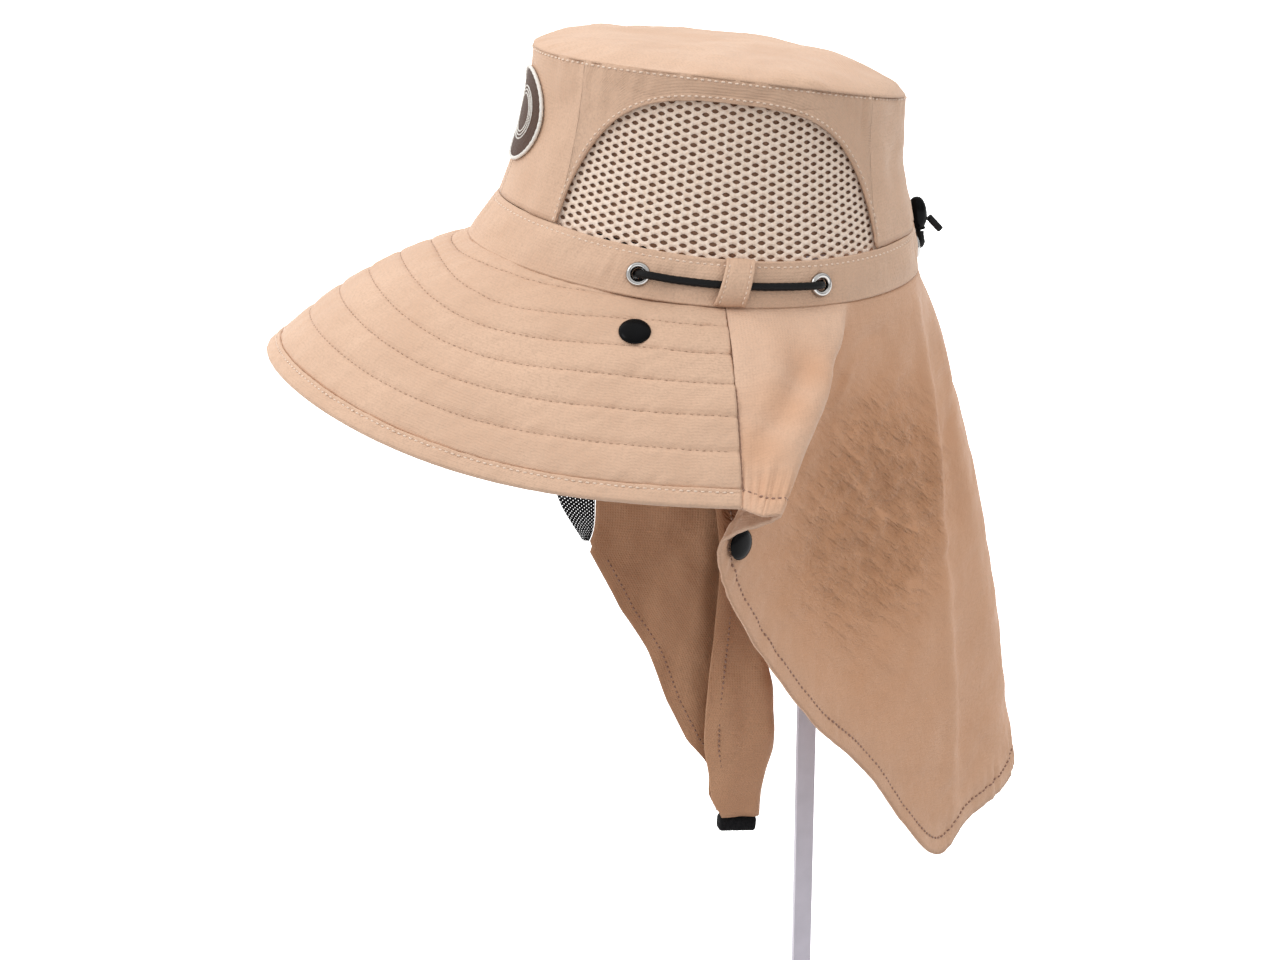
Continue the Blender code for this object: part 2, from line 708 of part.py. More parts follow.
def build_tab(hat):
    row = COVER_ROWS[-1]
    across = -FOOT_HALF_WIDTH * (row["far"] + row["near"]) / 2
    along = FOOT_HALF_LENGTH * (row["edge"] + row["fold"]) / 2
    low = -COVER_DROP - GAP
    bm = bmesh.new()
    bmesh.ops.create_cube(bm, size=1.0)
    bmesh.ops.scale(bm, vec=(TAB_DEEP, TAB_WIDTH, TAB_HEIGHT), verts=bm.verts)
    bmesh.ops.bevel(bm, geom=bm.edges[:], offset=TAB_ROUND, segments=2, affect="EDGES", profile=0.5)
    bmesh.ops.translate(bm, vec=(across, along, low - TAB_HEIGHT / 2), verts=bm.verts)
    add_object("face_tab", bm, "tab", hat)


def build_badge(hat):
    off = SHELL / 2 + BADGE_WALL / 2 + 2 * GAP

    def patch(share, rise):
        half = math.sqrt(max(0.02, 1 - (2 * rise - 1) ** 2))
        angle = BADGE_HALF_ANGLE * share * half
        return crown(angle, BADGE_LOW + (BADGE_HIGH - BADGE_LOW) * rise) + outward(angle) * off

    cloth_wall("front_badge", patch, spread(-1, 1, 9), spread(0, 1, 9), BADGE_WALL, "badge", hat)


def lock_foot():
    """The middle of the lock's lower end."""
    off = BAND_WALL / 2 + LOCK_WIDTH / 2 + 3 * GAP
    level = (LOCK_LOW - FOOT_RISE) / BAND_HEIGHT
    return cord_point(math.pi, off, level)


def build_lock(hat):
    """The egg-shaped lock stands on the cord's two ends, leaning with the band at its back."""
    lean = (head(math.pi) - foot(math.pi)).normalized()
    profile = [(0, 0), (LOCK_WIDTH * 0.36, 0)]
    for i in range(1, 8):
        a = math.pi * i / 8
        wide = LOCK_WIDTH / 2 * math.sin(a) ** 0.8
        profile.append((max(wide, LOCK_WIDTH * 0.36), LOCK_LENGTH * (1 - math.cos(a)) / 2))
    profile.append((0, LOCK_LENGTH))
    lathe("cord_lock", profile, 14, lock_foot(), lean, "snap", hat)
    start = lock_foot() + band_out(math.pi) * (LOCK_WIDTH / 2 + 0.25 * CORD) + lean * LOCK_LENGTH * 0.3
    reach = Vector((0, 0.75, -0.66)) * TAIL
    round_tube("cord_tail", [start, start + reach * 0.5, start + reach], CORD, "cord", hat)


# The stand


def build_stand(hat):
    tip_cos, tip_sin = math.cos(HAT_TIP), math.sin(HAT_TIP)

    def in_world(point):
        y = point.y * tip_cos + point.z * tip_sin
        z = -point.y * tip_sin + point.z * tip_cos
        return Vector((point.x, y, z + HEAD_HEIGHT))

    lowest = 1.0
    for i in range(24):
        a = 2 * math.pi * i / 24
        x = PLATE_HALF_WIDTH * math.sin(a)
        y = PLATE_MIDDLE - PLATE_HALF_LENGTH * math.cos(a)
        lowest = min(lowest, under_crown(x, y))
    plate_top = lowest - 2 * GAP

    def plate(share, angle, height):
        x = PLATE_HALF_WIDTH * math.sin(angle) * share
        y = PLATE_MIDDLE - PLATE_HALF_LENGTH * math.cos(angle) * share
        return Vector((x, y, height))

    polar_wall(
        "stand_top",
        lambda share, angle: plate(share, angle, plate_top),
        lambda share, angle: plate(share, angle, plate_top - PLATE_WALL),
        (1.0,),
        32,
        "stand",
        hat,
    )
    post_head = in_world(Vector((0, PLATE_MIDDLE, plate_top - PLATE_WALL)))
    slope = -tip_sin / tip_cos

    bm = bmesh.new()
    corners = []
    for x in (-POST_DEEP / 2, POST_DEEP / 2):
        for y in (POST_PLACE - POST_WIDTH / 2, POST_PLACE + POST_WIDTH / 2):
            high = post_head.z + (y - post_head.y) * slope - GAP
            corners.append((bm.verts.new((x, y, BASE_WALL + GAP)), bm.verts.new((x, y, high))))
    a, b, c, d = corners
    for first, second in ((a, b), (b, d), (d, c), (c, a)):
        bm.faces.new((first[0], second[0], second[1], first[1]))
    bm.faces.new((a[0], b[0], d[0], c[0]))
    bm.faces.new((a[1], b[1], d[1], c[1]))
    add_object("stand_post", bm, "stand", None)

    bevel = BASE_WALL * 0.3
    profile = (
        (0, 0),
        (BASE_RADIUS, 0),
        (BASE_RADIUS, BASE_WALL - bevel),
        (BASE_RADIUS - bevel, BASE_WALL),
        (0, BASE_WALL),
    )
    lathe("stand_base", profile, 48, Vector((0, BASE_MIDDLE, 0)), Vector((0, 0, 1)), "stand", None)


def under_crown(x, y):
    """Height of the crown top's underside over a point of the hat's plan."""
    angle = math.atan2(x / SEAM_HALF_WIDTH, -(y - HEAD_SHIFT) / SEAM_HALF_LENGTH)
    edge = seam(angle) + outward(angle) * TOP_LIP
    share = math.hypot(x, y - HEAD_SHIFT) / math.hypot(edge.x, edge.y - HEAD_SHIFT)
    top = edge.z + (SEAM_HEIGHT + TOP_DOME - edge.z) * (1 - share**TOP_SHOULDER)
    return top - SHELL


def main():
    clear_scene()
    hat = bpy.data.objects.new("hat_seat", None)
    bpy.context.scene.collection.objects.link(hat)
    hat.location = (0, 0, HEAD_HEIGHT)
    hat.rotation_euler = (-HAT_TIP, 0, 0)
    build_crown(hat)
    build_vents(hat)
    build_band(hat)
    build_eyelets(hat)
    build_cord(hat)
    build_loops(hat)
    build_brim(hat)
    build_snaps(hat)
    build_flap(hat)
    build_cover(hat)
    build_tab(hat)
    build_badge(hat)
    build_lock(hat)
    build_stand(hat)


main()
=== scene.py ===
"""Looks of the ranger hat on its display stand.

Metres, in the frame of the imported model. Every surface of the hat is written in the
hat's own frame, whose origin is the middle of the head opening, with the front
towards -Y and the wearer's left at +X. HAT lifts and tips it onto the stand.
"""

import math

import bmesh
import bpy
import numpy as np
from mathutils import Matrix, Vector, noise


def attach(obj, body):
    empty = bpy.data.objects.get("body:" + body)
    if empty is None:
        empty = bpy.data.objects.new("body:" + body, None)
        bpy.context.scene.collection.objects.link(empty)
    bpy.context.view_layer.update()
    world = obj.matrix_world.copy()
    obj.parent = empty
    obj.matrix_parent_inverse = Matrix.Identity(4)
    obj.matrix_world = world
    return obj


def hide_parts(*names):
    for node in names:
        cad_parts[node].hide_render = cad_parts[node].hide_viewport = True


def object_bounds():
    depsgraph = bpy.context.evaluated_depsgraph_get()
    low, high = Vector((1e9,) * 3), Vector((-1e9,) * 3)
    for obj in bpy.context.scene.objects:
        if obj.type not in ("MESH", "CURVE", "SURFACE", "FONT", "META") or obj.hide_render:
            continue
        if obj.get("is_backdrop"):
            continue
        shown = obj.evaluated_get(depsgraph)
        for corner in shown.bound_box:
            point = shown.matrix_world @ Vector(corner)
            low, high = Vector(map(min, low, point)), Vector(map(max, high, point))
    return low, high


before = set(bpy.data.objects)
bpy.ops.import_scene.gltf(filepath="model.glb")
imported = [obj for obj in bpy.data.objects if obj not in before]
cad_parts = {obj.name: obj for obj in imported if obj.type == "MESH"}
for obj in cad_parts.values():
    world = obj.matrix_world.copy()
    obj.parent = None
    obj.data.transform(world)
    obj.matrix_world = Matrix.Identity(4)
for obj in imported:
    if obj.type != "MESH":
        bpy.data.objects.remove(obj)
CAD_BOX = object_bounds()

# How the hat sits on its stand
HEAD_HEIGHT = 0.432
HAT_TIP = math.radians(5.1)
HAT = Matrix.Translation((0, 0, HEAD_HEIGHT)) @ Matrix.Rotation(-HAT_TIP, 4, "X")

# Camera: direction from the target, distance, and the lens on a 36 mm sensor
VIEW_AZIMUTH = math.radians(78.2)
VIEW_ELEVATION = math.radians(18.35)
VIEW_DISTANCE = 1.2
VIEW_TARGET = Vector((0, -0.0278, HEAD_HEIGHT - 0.1106))
SENSOR = 36.0
LENS = 70.875

# Light: direction of the sky's bright side and its two strengths, the two lamps, the floor
SOFTBOX = Vector((-0.45, -0.25, 0.85))
SKY_LOW = 0.56
SKY_HIGH = 1.52
KEY_POWER = 12
FILL_POWER = 2.5
KEY_PLACE = (0.5, -1.9, 2.0)
FILL_PLACE = (1.7, 1.1, 1.3)
LAMP_SIZE = 1.0
FLOOR_HALF = 30.0
FLOOR_WHITE = 0.9

# Upwards, and a point inside the hat that all outer faces look away from
UP = Vector((0, 0, 1))
INSIDE = Vector((0, 0, -0.12))

# Cloth and clearances
SHELL = 0.0016
BAND_WALL = 0.0018
BRIM_WALL = 0.0024
BINDING_WALL = 0.0036
NET = 0.0010
GAP = 0.0003

# Ovals that carry the crown
FOOT_HALF_LENGTH = 0.1044
FOOT_HALF_WIDTH = 0.0870
FOOT_SHIFT = -0.0020
FOOT_RISE = 0.0022
FOOT_SAG = 0.0072
BAND_HEIGHT = 0.0194
HEAD_HALF_LENGTH = 0.0960
HEAD_HALF_WIDTH = 0.0824
HEAD_SHIFT = 0.0020
SEAM_HALF_LENGTH = 0.0850
SEAM_HALF_WIDTH = 0.0717
SEAM_HEIGHT = 0.0850
SEAM_SADDLE = 0.0050
SEAM_PITCH = 0.0050
WALL_SINK = 0.0030
TOP_DOME = 0.0115
TOP_SHOULDER = 4.5
TOP_EDGE = 0.0009

# Arched window in each side wall
WINDOW_MIDDLE = math.radians(83.0)
WINDOW_HALF_ANGLE = math.radians(48.5)
WINDOW_TOP = 0.86
WINDOW_POWER = 3.0
NET_BACK = 0.0009
WINDOW_FOLD = 0.0024
WINDOW_STITCH = 0.68 * WINDOW_FOLD
ARCH_FOOT = 0.004

# Brim
BRIM_END = math.radians(86.6)
BRIM_FRONT = 0.1020
BRIM_SIDE_LOSS = 0.0060
SLOPE_FRONT = math.radians(16.2)
SLOPE_SIDE = math.radians(29.0)
SLOPE_QUARTER = math.radians(5.4)
CURL_FRONT = 5.9
CURL_SIDE = 5.0
BINDING = 0.0075
BINDING_STITCH = 0.22

# Stitch rows of the brim: spacing and count, how far they sway out at the quarters, and
# the last row, which leaves the band's foot in front and meets it again at the sides
QUILT_STEP = 0.0155
QUILT_ROWS = 5
QUILT_SWAY = 0.11
QUILT_WAVES = 2.6
QUILT_LAST = 0.0088
QUILT_LAST_END = math.radians(62)

# Cord, eyelets and loops
CORD = 0.0035
EYELET = 0.0108
EYELET_HOLE = 0.0056
EYELET_DEEP = 0.0018
EYELET_LIP = 0.0003
EYELET_FRONT = math.radians(63.7)
EYELET_REAR = math.radians(110.8)
EYELET_BACK = math.radians(174.2)
CORD_LEVEL = 0.43
BACK_LEVEL = 0.30
EYELETS = (
    ("eyelet_left_front", EYELET_FRONT, CORD_LEVEL),
    ("eyelet_left_rear", EYELET_REAR, CORD_LEVEL),
    ("eyelet_left_back", EYELET_BACK, BACK_LEVEL),
    ("eyelet_right_front", -EYELET_FRONT, CORD_LEVEL),
    ("eyelet_right_rear", -EYELET_REAR, CORD_LEVEL),
    ("eyelet_right_back", -EYELET_BACK, BACK_LEVEL),
)
LOOP_MIDDLE = math.radians(87.5)
LOOP_WIDTH = 0.0137
LOOP_WALL = 0.0014
LOOP_STITCH = 0.74
LOCK_LENGTH = 0.0155
LOCK_WIDTH = 0.0088
LOCK_LOW = 0.0135
TAIL = 0.0085

# Snaps
SNAP = 0.0140
SNAP_DEEP = 0.0026
BRIM_SNAP_ANGLE = math.radians(66.8)
BRIM_SNAP_OUT = 0.0205
FLAP_SNAP_PLACE = 0.40
FLAP_SNAP_DOWN = 0.89
FLAP_SNAP_SEAT = 0.0014

# Neck flap, one row for each fold from the brim's end round to the back: angle on the
# band, hem place as shares of the foot oval's half width and half length and of the
# drop, and share of the bow
FLAP_DROP = 0.283
FLAP_BOW = 0.0095
FLAP_HEM = 0.0085
FLAP_FOLDS = (
    {"angle": 102, "side": 1.908, "back": -0.04, "down": 0.263, "bow": 0.80},
    {"angle": 116, "side": 1.860, "back": 0.03, "down": 0.270, "bow": 0.90},
    {"angle": 121, "side": 1.560, "back": -0.125, "down": 0.352, "bow": 0.20},
    {"angle": 125, "side": 1.450, "back": 0.04, "down": 0.480, "bow": 0.00},
    {"angle": 134, "side": 1.207, "back": 0.45, "down": 0.676, "bow": 0.20},
    {"angle": 145, "side": 0.977, "back": 0.785, "down": 0.797, "bow": 0.60},
    {"angle": 157, "side": 0.690, "back": 1.245, "down": 0.993, "bow": 0.90},
    {"angle": 166, "side": 0.460, "back": 1.466, "down": 0.965, "bow": 0.90},
    {"angle": 173, "side": 0.230, "back": 1.724, "down": 0.932, "bow": 0.95},
    {"angle": 180, "side": 0.000, "back": 1.815, "down": 0.900, "bow": 1.00},
)

# Where the flap's cloth starts, counted in folds from the brim's end, and its hem's stitches:
# they follow the hem from the second place and are held back to the third
FLAP_TUCK = 0.03
FLAP_START = 0.10
FLAP_HEM_START = 0.11

# Creases pressed into the flap, from one place to another in folds and share of the
# drop, with their width and their height in metres: above 0 is a ridge, below a valley
FLAP_CREASES = (
    {"from": (1.40, 0.26), "to": (0.60, 0.74), "width": 0.0060, "height": -0.0030},
    {"from": (0.60, 0.10), "to": (0.95, 0.45), "width": 0.0100, "height": 0.0016},
    {"from": (0.68, 0.80), "to": (0.68, 0.92), "width": 0.0035, "height": -0.0016},
    {"from": (1.18, 0.78), "to": (1.18, 0.92), "width": 0.0035, "height": -0.0014},
    {"from": (2.93, 0.04), "to": (2.10, 0.52), "width": 0.0045, "height": 0.0014},
    {"from": (2.05, 0.30), "to": (5.10, 0.09), "width": 0.0036, "height": -0.0026},
    {"from": (4.40, 0.18), "to": (4.30, 0.30), "width": 0.0030, "height": 0.0016},
    {"from": (6.60, 0.05), "to": (7.25, 0.45), "width": 0.0060, "height": 0.0034},
    {"from": (7.25, 0.45), "to": (7.55, 0.94), "width": 0.0065, "height": 0.0034},
    {"from": (7.60, 0.30), "to": (9.10, 0.22), "width": 0.0060, "height": -0.0022},
    {"from": (8.30, 0.10), "to": (8.60, 0.50), "width": 0.0090, "height": 0.0024},
    {"from": (5.00, 0.30), "to": (6.60, 0.55), "width": 0.0040, "height": -0.0012},
    {"from": (5.40, 0.20), "to": (6.90, 0.40), "width": 0.0035, "height": 0.0010},
    {"from": (4.90, 0.60), "to": (6.30, 0.44), "width": 0.0050, "height": 0.0010},
)

# Broad dent and the crinkled patch of the flap's sides: middle in folds and share of
# the drop, radius and depth
FLAP_DENT = (5.5, 0.62)
FLAP_DENT_WIDE = 0.055
FLAP_DENT_DEEP = 0.0095
FLAP_CRINKLE = (5.9, 0.46)
FLAP_CRINKLE_WIDE = 0.044

# Painted shade: where the pale gusset gives way to the flap's shaded body, the shaded spots on the gusset
# and their width, and where the body gives way to its back
GUSSET_END = 2.75
GUSSET_SHADE_SPOTS = ((1.38, 0.32), (0.98, 0.51), (0.58, 0.72), (1.2, 0.88))
GUSSET_SHADE_WIDE = 0.015
FLAP_BACK = 6.9

# Face cover: length of its hanging part, the share of it that is sewn to the band,
# its hem, how far down its near layer takes painted shade, where its far layer and its
# fold end across it, and the net along its front edge
COVER_DROP = 0.3175
COVER_FAR_END = 0.50
COVER_TURN_END = 0.62
COVER_WALL = 0.0014
COVER_TOP = 0.0035
COVER_SEWN = 0.16
COVER_HEM = 0.0075
COVER_SHADE = 0.66
MESH_END = 0.532
MESH_WIDTH = 0.0260
MESH_FOOT = 0.10

# One row for each height of the cover: depth as a share of the drop, then the far
# layer's front edge, the fold and the near layer's edge as shares of the foot oval's
# half length, and both layers' distance to the right as shares of its half width
COVER_ROWS = (
    {"down": 0.000, "edge": -0.300, "fold": 0.380, "inner": 0.100, "far": 0.86, "near": 0.72},
    {"down": 0.200, "edge": -0.340, "fold": 0.420, "inner": 0.200, "far": 0.84, "near": 0.69},
    {"down": 0.432, "edge": -0.426, "fold": 0.520, "inner": 0.330, "far": 0.80, "near": 0.65},
    {"down": 0.540, "edge": -0.238, "fold": 0.600, "inner": 0.390, "far": 0.80, "near": 0.64},
    {"down": 0.642, "edge": -0.053, "fold": 0.660, "inner": 0.400, "far": 0.80, "near": 0.64},
    {"down": 0.713, "edge": 0.102, "fold": 0.700, "inner": 0.400, "far": 0.80, "near": 0.64},
    {"down": 0.802, "edge": 0.223, "fold": 0.770, "inner": 0.400, "far": 0.80, "near": 0.64},
    {"down": 0.872, "edge": 0.345, "fold": 0.790, "inner": 0.415, "far": 0.79, "near": 0.65},
    {"down": 0.917, "edge": 0.465, "fold": 0.760, "inner": 0.450, "far": 0.78, "near": 0.66},
    {"down": 0.973, "edge": 0.490, "fold": 0.745, "inner": 0.490, "far": 0.77, "near": 0.68},
    {"down": 1.000, "edge": 0.535, "fold": 0.740, "inner": 0.545, "far": 0.76, "near": 0.69},
)

# Tab and patch
TAB_WIDTH = 0.0210
TAB_HEIGHT = 0.0085
TAB_DEEP = 0.0085
BADGE_HALF_ANGLE = math.radians(17.0)
BADGE_LOW = 0.26
BADGE_HIGH = 0.86
BADGE_WALL = 0.0008
RING_STEPS = 60
RING_OVERLAP = 11

# Steps round the hat, the rises between which the band's cloth runs, and how far the
# stitch rows of crown and band lie below the top seam and the band's upper edge
ROUND_STEPS = 480
BAND_FROM = -0.045
BAND_TO = 0.985
CROWN_STITCH = 0.0016
BAND_STITCH = 0.0026

# Stitches and net holes
STITCH_PITCH = 0.0030
STITCH_LENGTH = 0.0021
STITCH_WIDTH = 0.00045
NET_COLUMN = 0.0042
NET_ROW = 0.0039
NET_HOLE = (0.0040, 0.0022)
FINE_CELL = 0.0019
FINE_HOLE = 0.0007
FINE_WALL = 0.0004
FINE_COLUMNS = 14

# Crushed patch of the flap: slant, length and width of its small creases, their depth,
# and the painted shade in them as a share of the cloth's painted shade tone
CRUSH_SLANT = math.radians(-42)
CRUSH_LENGTH = 0.022
CRUSH_WIDTH = 0.0050
CRUSH_DEEP = 0.0022
CRUSH_SHADE_TONE = 0.76


# Camera, lights and floor


def add_camera():
    data = bpy.data.cameras.new("camera")
    data.sensor_width = SENSOR
    data.lens = LENS
    data.clip_end = 50.0
    camera = bpy.data.objects.new("camera", data)
    bpy.context.scene.collection.objects.link(camera)
    level = math.cos(VIEW_ELEVATION)
    flat = Vector((math.sin(VIEW_AZIMUTH), -math.cos(VIEW_AZIMUTH), 0)) * level
    back = flat + UP * math.sin(VIEW_ELEVATION)
    camera.location = VIEW_TARGET + back * VIEW_DISTANCE
    camera.rotation_euler = back.to_track_quat("Z", "Y").to_euler()
    bpy.context.scene.camera = camera


def add_light(name, place, power):
    data = bpy.data.lights.new(name, "AREA")
    data.shape = "DISK"
    data.size = LAMP_SIZE
    data.energy = power
    light = bpy.data.objects.new(name, data)
    bpy.context.scene.collection.objects.link(light)
    light.location = place
    light.rotation_euler = (Vector(place) - VIEW_TARGET).to_track_quat("Z", "Y").to_euler()


def add_node(tree, kind, values=None, **settings):
    """A node with its settings; each value is a constant for an input or a socket linked to it."""
    node = tree.nodes.new(kind)
    for key, setting in settings.items():
        setattr(node, key, setting)
    for key, value in (values or {}).items():
        if isinstance(value, bpy.types.NodeSocket):
            tree.links.new(value, node.inputs[key])
        else:
            node.inputs[key].default_value = value
    return node


def ramp(tree, value, low, high, first=0.0, last=1.0, **settings):
    """Goes from the first to the last number while the value goes from low to high."""
    values = {"Value": value, "From Min": low, "From Max": high, "To Min": first, "To Max": last}
    return add_node(tree, "ShaderNodeMapRange", values, **settings).outputs["Result"]


def studio_world():
    """White surroundings, brightest overhead and on the hat's far side."""
    world = bpy.data.worlds.new("studio")
    world.use_nodes = True
    tree = world.node_tree
    place = add_node(tree, "ShaderNodeTexCoord").outputs["Generated"]
    ends = {0: place, 1: SOFTBOX.normalized()}
    toward = add_node(tree, "ShaderNodeVectorMath", ends, operation="DOT_PRODUCT").outputs["Value"]
    sky = ramp(tree, toward, -0.5, 1.0, SKY_LOW, SKY_HIGH, interpolation_type="SMOOTHSTEP")
    background = tree.nodes["Background"]
    tree.links.new(sky, background.inputs["Strength"])
    background.inputs["Color"].default_value = (1, 1, 1, 1)
    return world


def add_studio():
    scene = bpy.context.scene
    scene.view_settings.view_transform = "Standard"
    scene.world = studio_world()
    add_light("key", KEY_PLACE, KEY_POWER)
    add_light("fill", FILL_PLACE, FILL_POWER)
    mesh = bpy.data.meshes.new("floor")
    half = FLOOR_HALF
    corners = [(-half, -half, 0), (half, -half, 0), (half, half, 0), (-half, half, 0)]
    mesh.from_pydata(corners, [], [(0, 1, 2, 3)])
    floor = bpy.data.objects.new("floor", mesh)
    scene.collection.objects.link(floor)
    paint = bpy.data.materials.new("floor")
    paint.use_nodes = True
    shader = paint.node_tree.nodes["Principled BSDF"]
    shader.inputs["Base Color"].default_value = (FLOOR_WHITE, FLOOR_WHITE, FLOOR_WHITE, 1)
    shader.inputs["Roughness"].default_value = 0.9
    shader.inputs["Emission Color"].default_value = (1, 1, 1, 1)
    shader.inputs["Emission Strength"].default_value = 1.0
    mesh.materials.append(paint)
    floor.visible_diffuse = False
    floor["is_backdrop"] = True


# Materials


def new_material(name, rough, metal=0.0, sheen=0.0, specular=0.5):
    made = bpy.data.materials.new(name)
    made.use_nodes = True
    shader = made.node_tree.nodes["Principled BSDF"]
    shader.inputs["Roughness"].default_value = rough
    shader.inputs["Metallic"].default_value = metal
    shader.inputs["Sheen Weight"].default_value = sheen
    shader.inputs["Specular IOR Level"].default_value = specular
    return made, made.node_tree, shader


def mix_color(tree, factor, first, second):
    mix = tree.nodes.new("ShaderNodeMix")
    mix.data_type = "RGBA"
    tree.links.new(factor, mix.inputs["Factor"])
    for key, value in (("A", first), ("B", second)):
        socket = next(s for s in mix.inputs if s.name == key and s.type == "RGBA")
        if isinstance(value, tuple):
            socket.default_value = (*value, 1)
        else:
            tree.links.new(value, socket)
    return next(s for s in mix.outputs if s.type == "RGBA")


def noise_node(tree, scale, detail=3.0, rough=0.55, place=None):
    """Noise in the piece's own metres, or over another place."""
    if place is None:
        place = add_node(tree, "ShaderNodeTexCoord").outputs["Object"]
    values = {"Vector": place, "Scale": scale, "Detail": detail, "Roughness": rough}
    return add_node(tree, "ShaderNodeTexNoise", values).outputs["Fac"]


def multiply(tree, first, second):
    return add_node(tree, "ShaderNodeMath", {0: first, 1: second}, operation="MULTIPLY").outputs["Value"]


def weave_node(tree, pitch):
    """Plain weave from the cloth's own coordinates: warp times weft."""
    place = add_node(tree, "ShaderNodeUVMap").outputs["UV"]
    values = {"Vector": place, "Scale": 1 / (pitch * math.pi * 2), "Distortion": 0.6, "Detail": 1.0}
    warp = add_node(tree, "ShaderNodeTexWave", values, bands_direction="X").outputs["Fac"]
    weft = add_node(tree, "ShaderNodeTexWave", values, bands_direction="Y").outputs["Fac"]
    return multiply(tree, warp, weft)


def bump(tree, shader, layers):
    """Chained bumps: pairs of height socket and depth in metres."""
    before = None
    for height, depth in layers:
        values = {"Strength": 1.0, "Distance": depth, "Height": height}
        if before:
            values["Normal"] = before
        before = add_node(tree, "ShaderNodeBump", values).outputs["Normal"]
    tree.links.new(before, shader.inputs["Normal"])


def nylon_material(name, light, dark, crumple, painted_shade=None):
    """Thin woven nylon: uneven dye, fine weave, soft crumples, and painted shade where marked."""
    made, tree, shader = new_material(name, 0.62, sheen=0.08, specular=0.3)
    shader.inputs["Sheen Roughness"].default_value = 0.45
    shader.inputs["Sheen Tint"].default_value = (1.0, 0.86, 0.72, 1)
    patch = ramp(tree, noise_node(tree, 28.0, 4.0), 0.35, 0.65)
    base = mix_color(tree, patch, light, dark)
    speck = ramp(tree, noise_node(tree, 900.0, 2.0), 0.42, 0.72)
    worn_and_shaded = mix_color(tree, speck, base, tuple(c * 0.86 for c in light))
    # Painted shade: where the shade mark is set, the cloth turns, mottled, towards its painted shade tone
    if painted_shade:
        shade_mark = add_node(tree, "ShaderNodeAttribute", attribute_name="painted_shade").outputs["Fac"]
        shade_mottle = ramp(tree, noise_node(tree, 75.0, 4.0), 0.0, 1.0, 0.75, 1.0)
        worn_and_shaded = mix_color(tree, multiply(tree, shade_mark, shade_mottle), worn_and_shaded, painted_shade)
        crease_and_shade = crush_node(tree, shade_mark)
        # Painted shade, darker still, inside the crushed creases
        worn_and_shaded = mix_color(tree, crease_and_shade, worn_and_shaded, tuple(c * CRUSH_SHADE_TONE for c in painted_shade))
    tree.links.new(worn_and_shaded, shader.inputs["Base Color"])
    gloss = ramp(tree, noise_node(tree, 60.0, 3.0), 0.2, 0.8, 0.54, 0.72)
    tree.links.new(gloss, shader.inputs["Roughness"])
    layers = [(noise_node(tree, 55.0, 3.0), crumple), (noise_node(tree, 420.0, 3.0), 0.00018)]
    if painted_shade:
        layers.append((crease_and_shade, -CRUSH_DEEP))
    bump(tree, shader, layers + [(weave_node(tree, 0.0007), 0.00010)])
    return made


def crush_node(tree, shade_mark):
    """Short slanting creases where the cloth's shade mark is near 1; the same mask bumps them and paints
    shade into them.
    """
    place = add_node(tree, "ShaderNodeTexCoord").outputs["Object"]
    size = (0.012, CRUSH_LENGTH, CRUSH_WIDTH)
    values = {"Vector": place, "Rotation": (CRUSH_SLANT, 0, 0), "Scale": size}
    slant = add_node(tree, "ShaderNodeMapping", values, vector_type="TEXTURE").outputs["Vector"]
    creases = noise_node(tree, 1.0, 4.0, 0.6, slant)
    return multiply(tree, ramp(tree, creases, 0.36, 0.72), ramp(tree, shade_mark, 0.74, 1.0))


def speckled(name, light, dark, rough, spots, grain, **options):
    """A surface mottled between two tones, with a fine bump.

    spots is the mottling's noise scale and detail, grain the bump's scale, detail and depth.
    """
    made, tree, shader = new_material(name, rough, **options)
    base = mix_color(tree, ramp(tree, noise_node(tree, *spots), 0.3, 0.7), light, dark)
    tree.links.new(base, shader.inputs["Base Color"])
    scale, detail, depth = grain
    bump(tree, shader, [(noise_node(tree, scale, detail), depth)])
    return made


def net_material(name, light, dark, depth, sheen=0.2, specular=0.25):
    grain = (1800.0, 2.0, depth)
    return speckled(name, light, dark, 0.8, (700.0, 2.0), grain, sheen=sheen, specular=specular)


def thread_material(name, light, dark, sheen=0.2, specular=0.35):
    grain = (4000.0, 1.0, 0.0001)
    return speckled(name, light, dark, 0.6, (2500.0, 1.0), grain, sheen=sheen, specular=specular)


def plastic_material(name, light, dark, rough):
    return speckled(name, light, dark, rough, (120.0, 3.0), (1500.0, 2.0, 0.00003), specular=0.05)


def metal_material(name, color, rough, metal, scale):
    darker = tuple(c * 0.9 for c in color)
    return speckled(name, color, darker, rough, (90.0, 4.0), (scale, 2.0, 0.00003), metal=metal)


NYLON = nylon_material("nylon", (0.65, 0.435, 0.305), (0.60, 0.390, 0.268), 0.0010)
# The flap's nylon: a little lighter than the hat's nylon, with a painted shade tone for the flap's body,
# its crinkled patch and spots on its gusset
FLAP_NYLON = nylon_material(
    "flap_nylon", (0.68, 0.460, 0.330), (0.63, 0.412, 0.288), 0.0020, painted_shade=(0.56, 0.268, 0.128)
)
# The cover's nylon: a darker, more saturated copy of the hat's nylon, which paints shade on the cover under
# the hat, and a near-black painted shade tone
COVER_NYLON_SHADED = nylon_material(
    "cover_nylon_shaded", (0.60, 0.330, 0.185), (0.54, 0.285, 0.155), 0.0016, painted_shade=(0.22, 0.080, 0.026)
)
VENT_NET = net_material("vent_net", (0.90, 0.76, 0.65), (0.78, 0.60, 0.47), 0.0004)
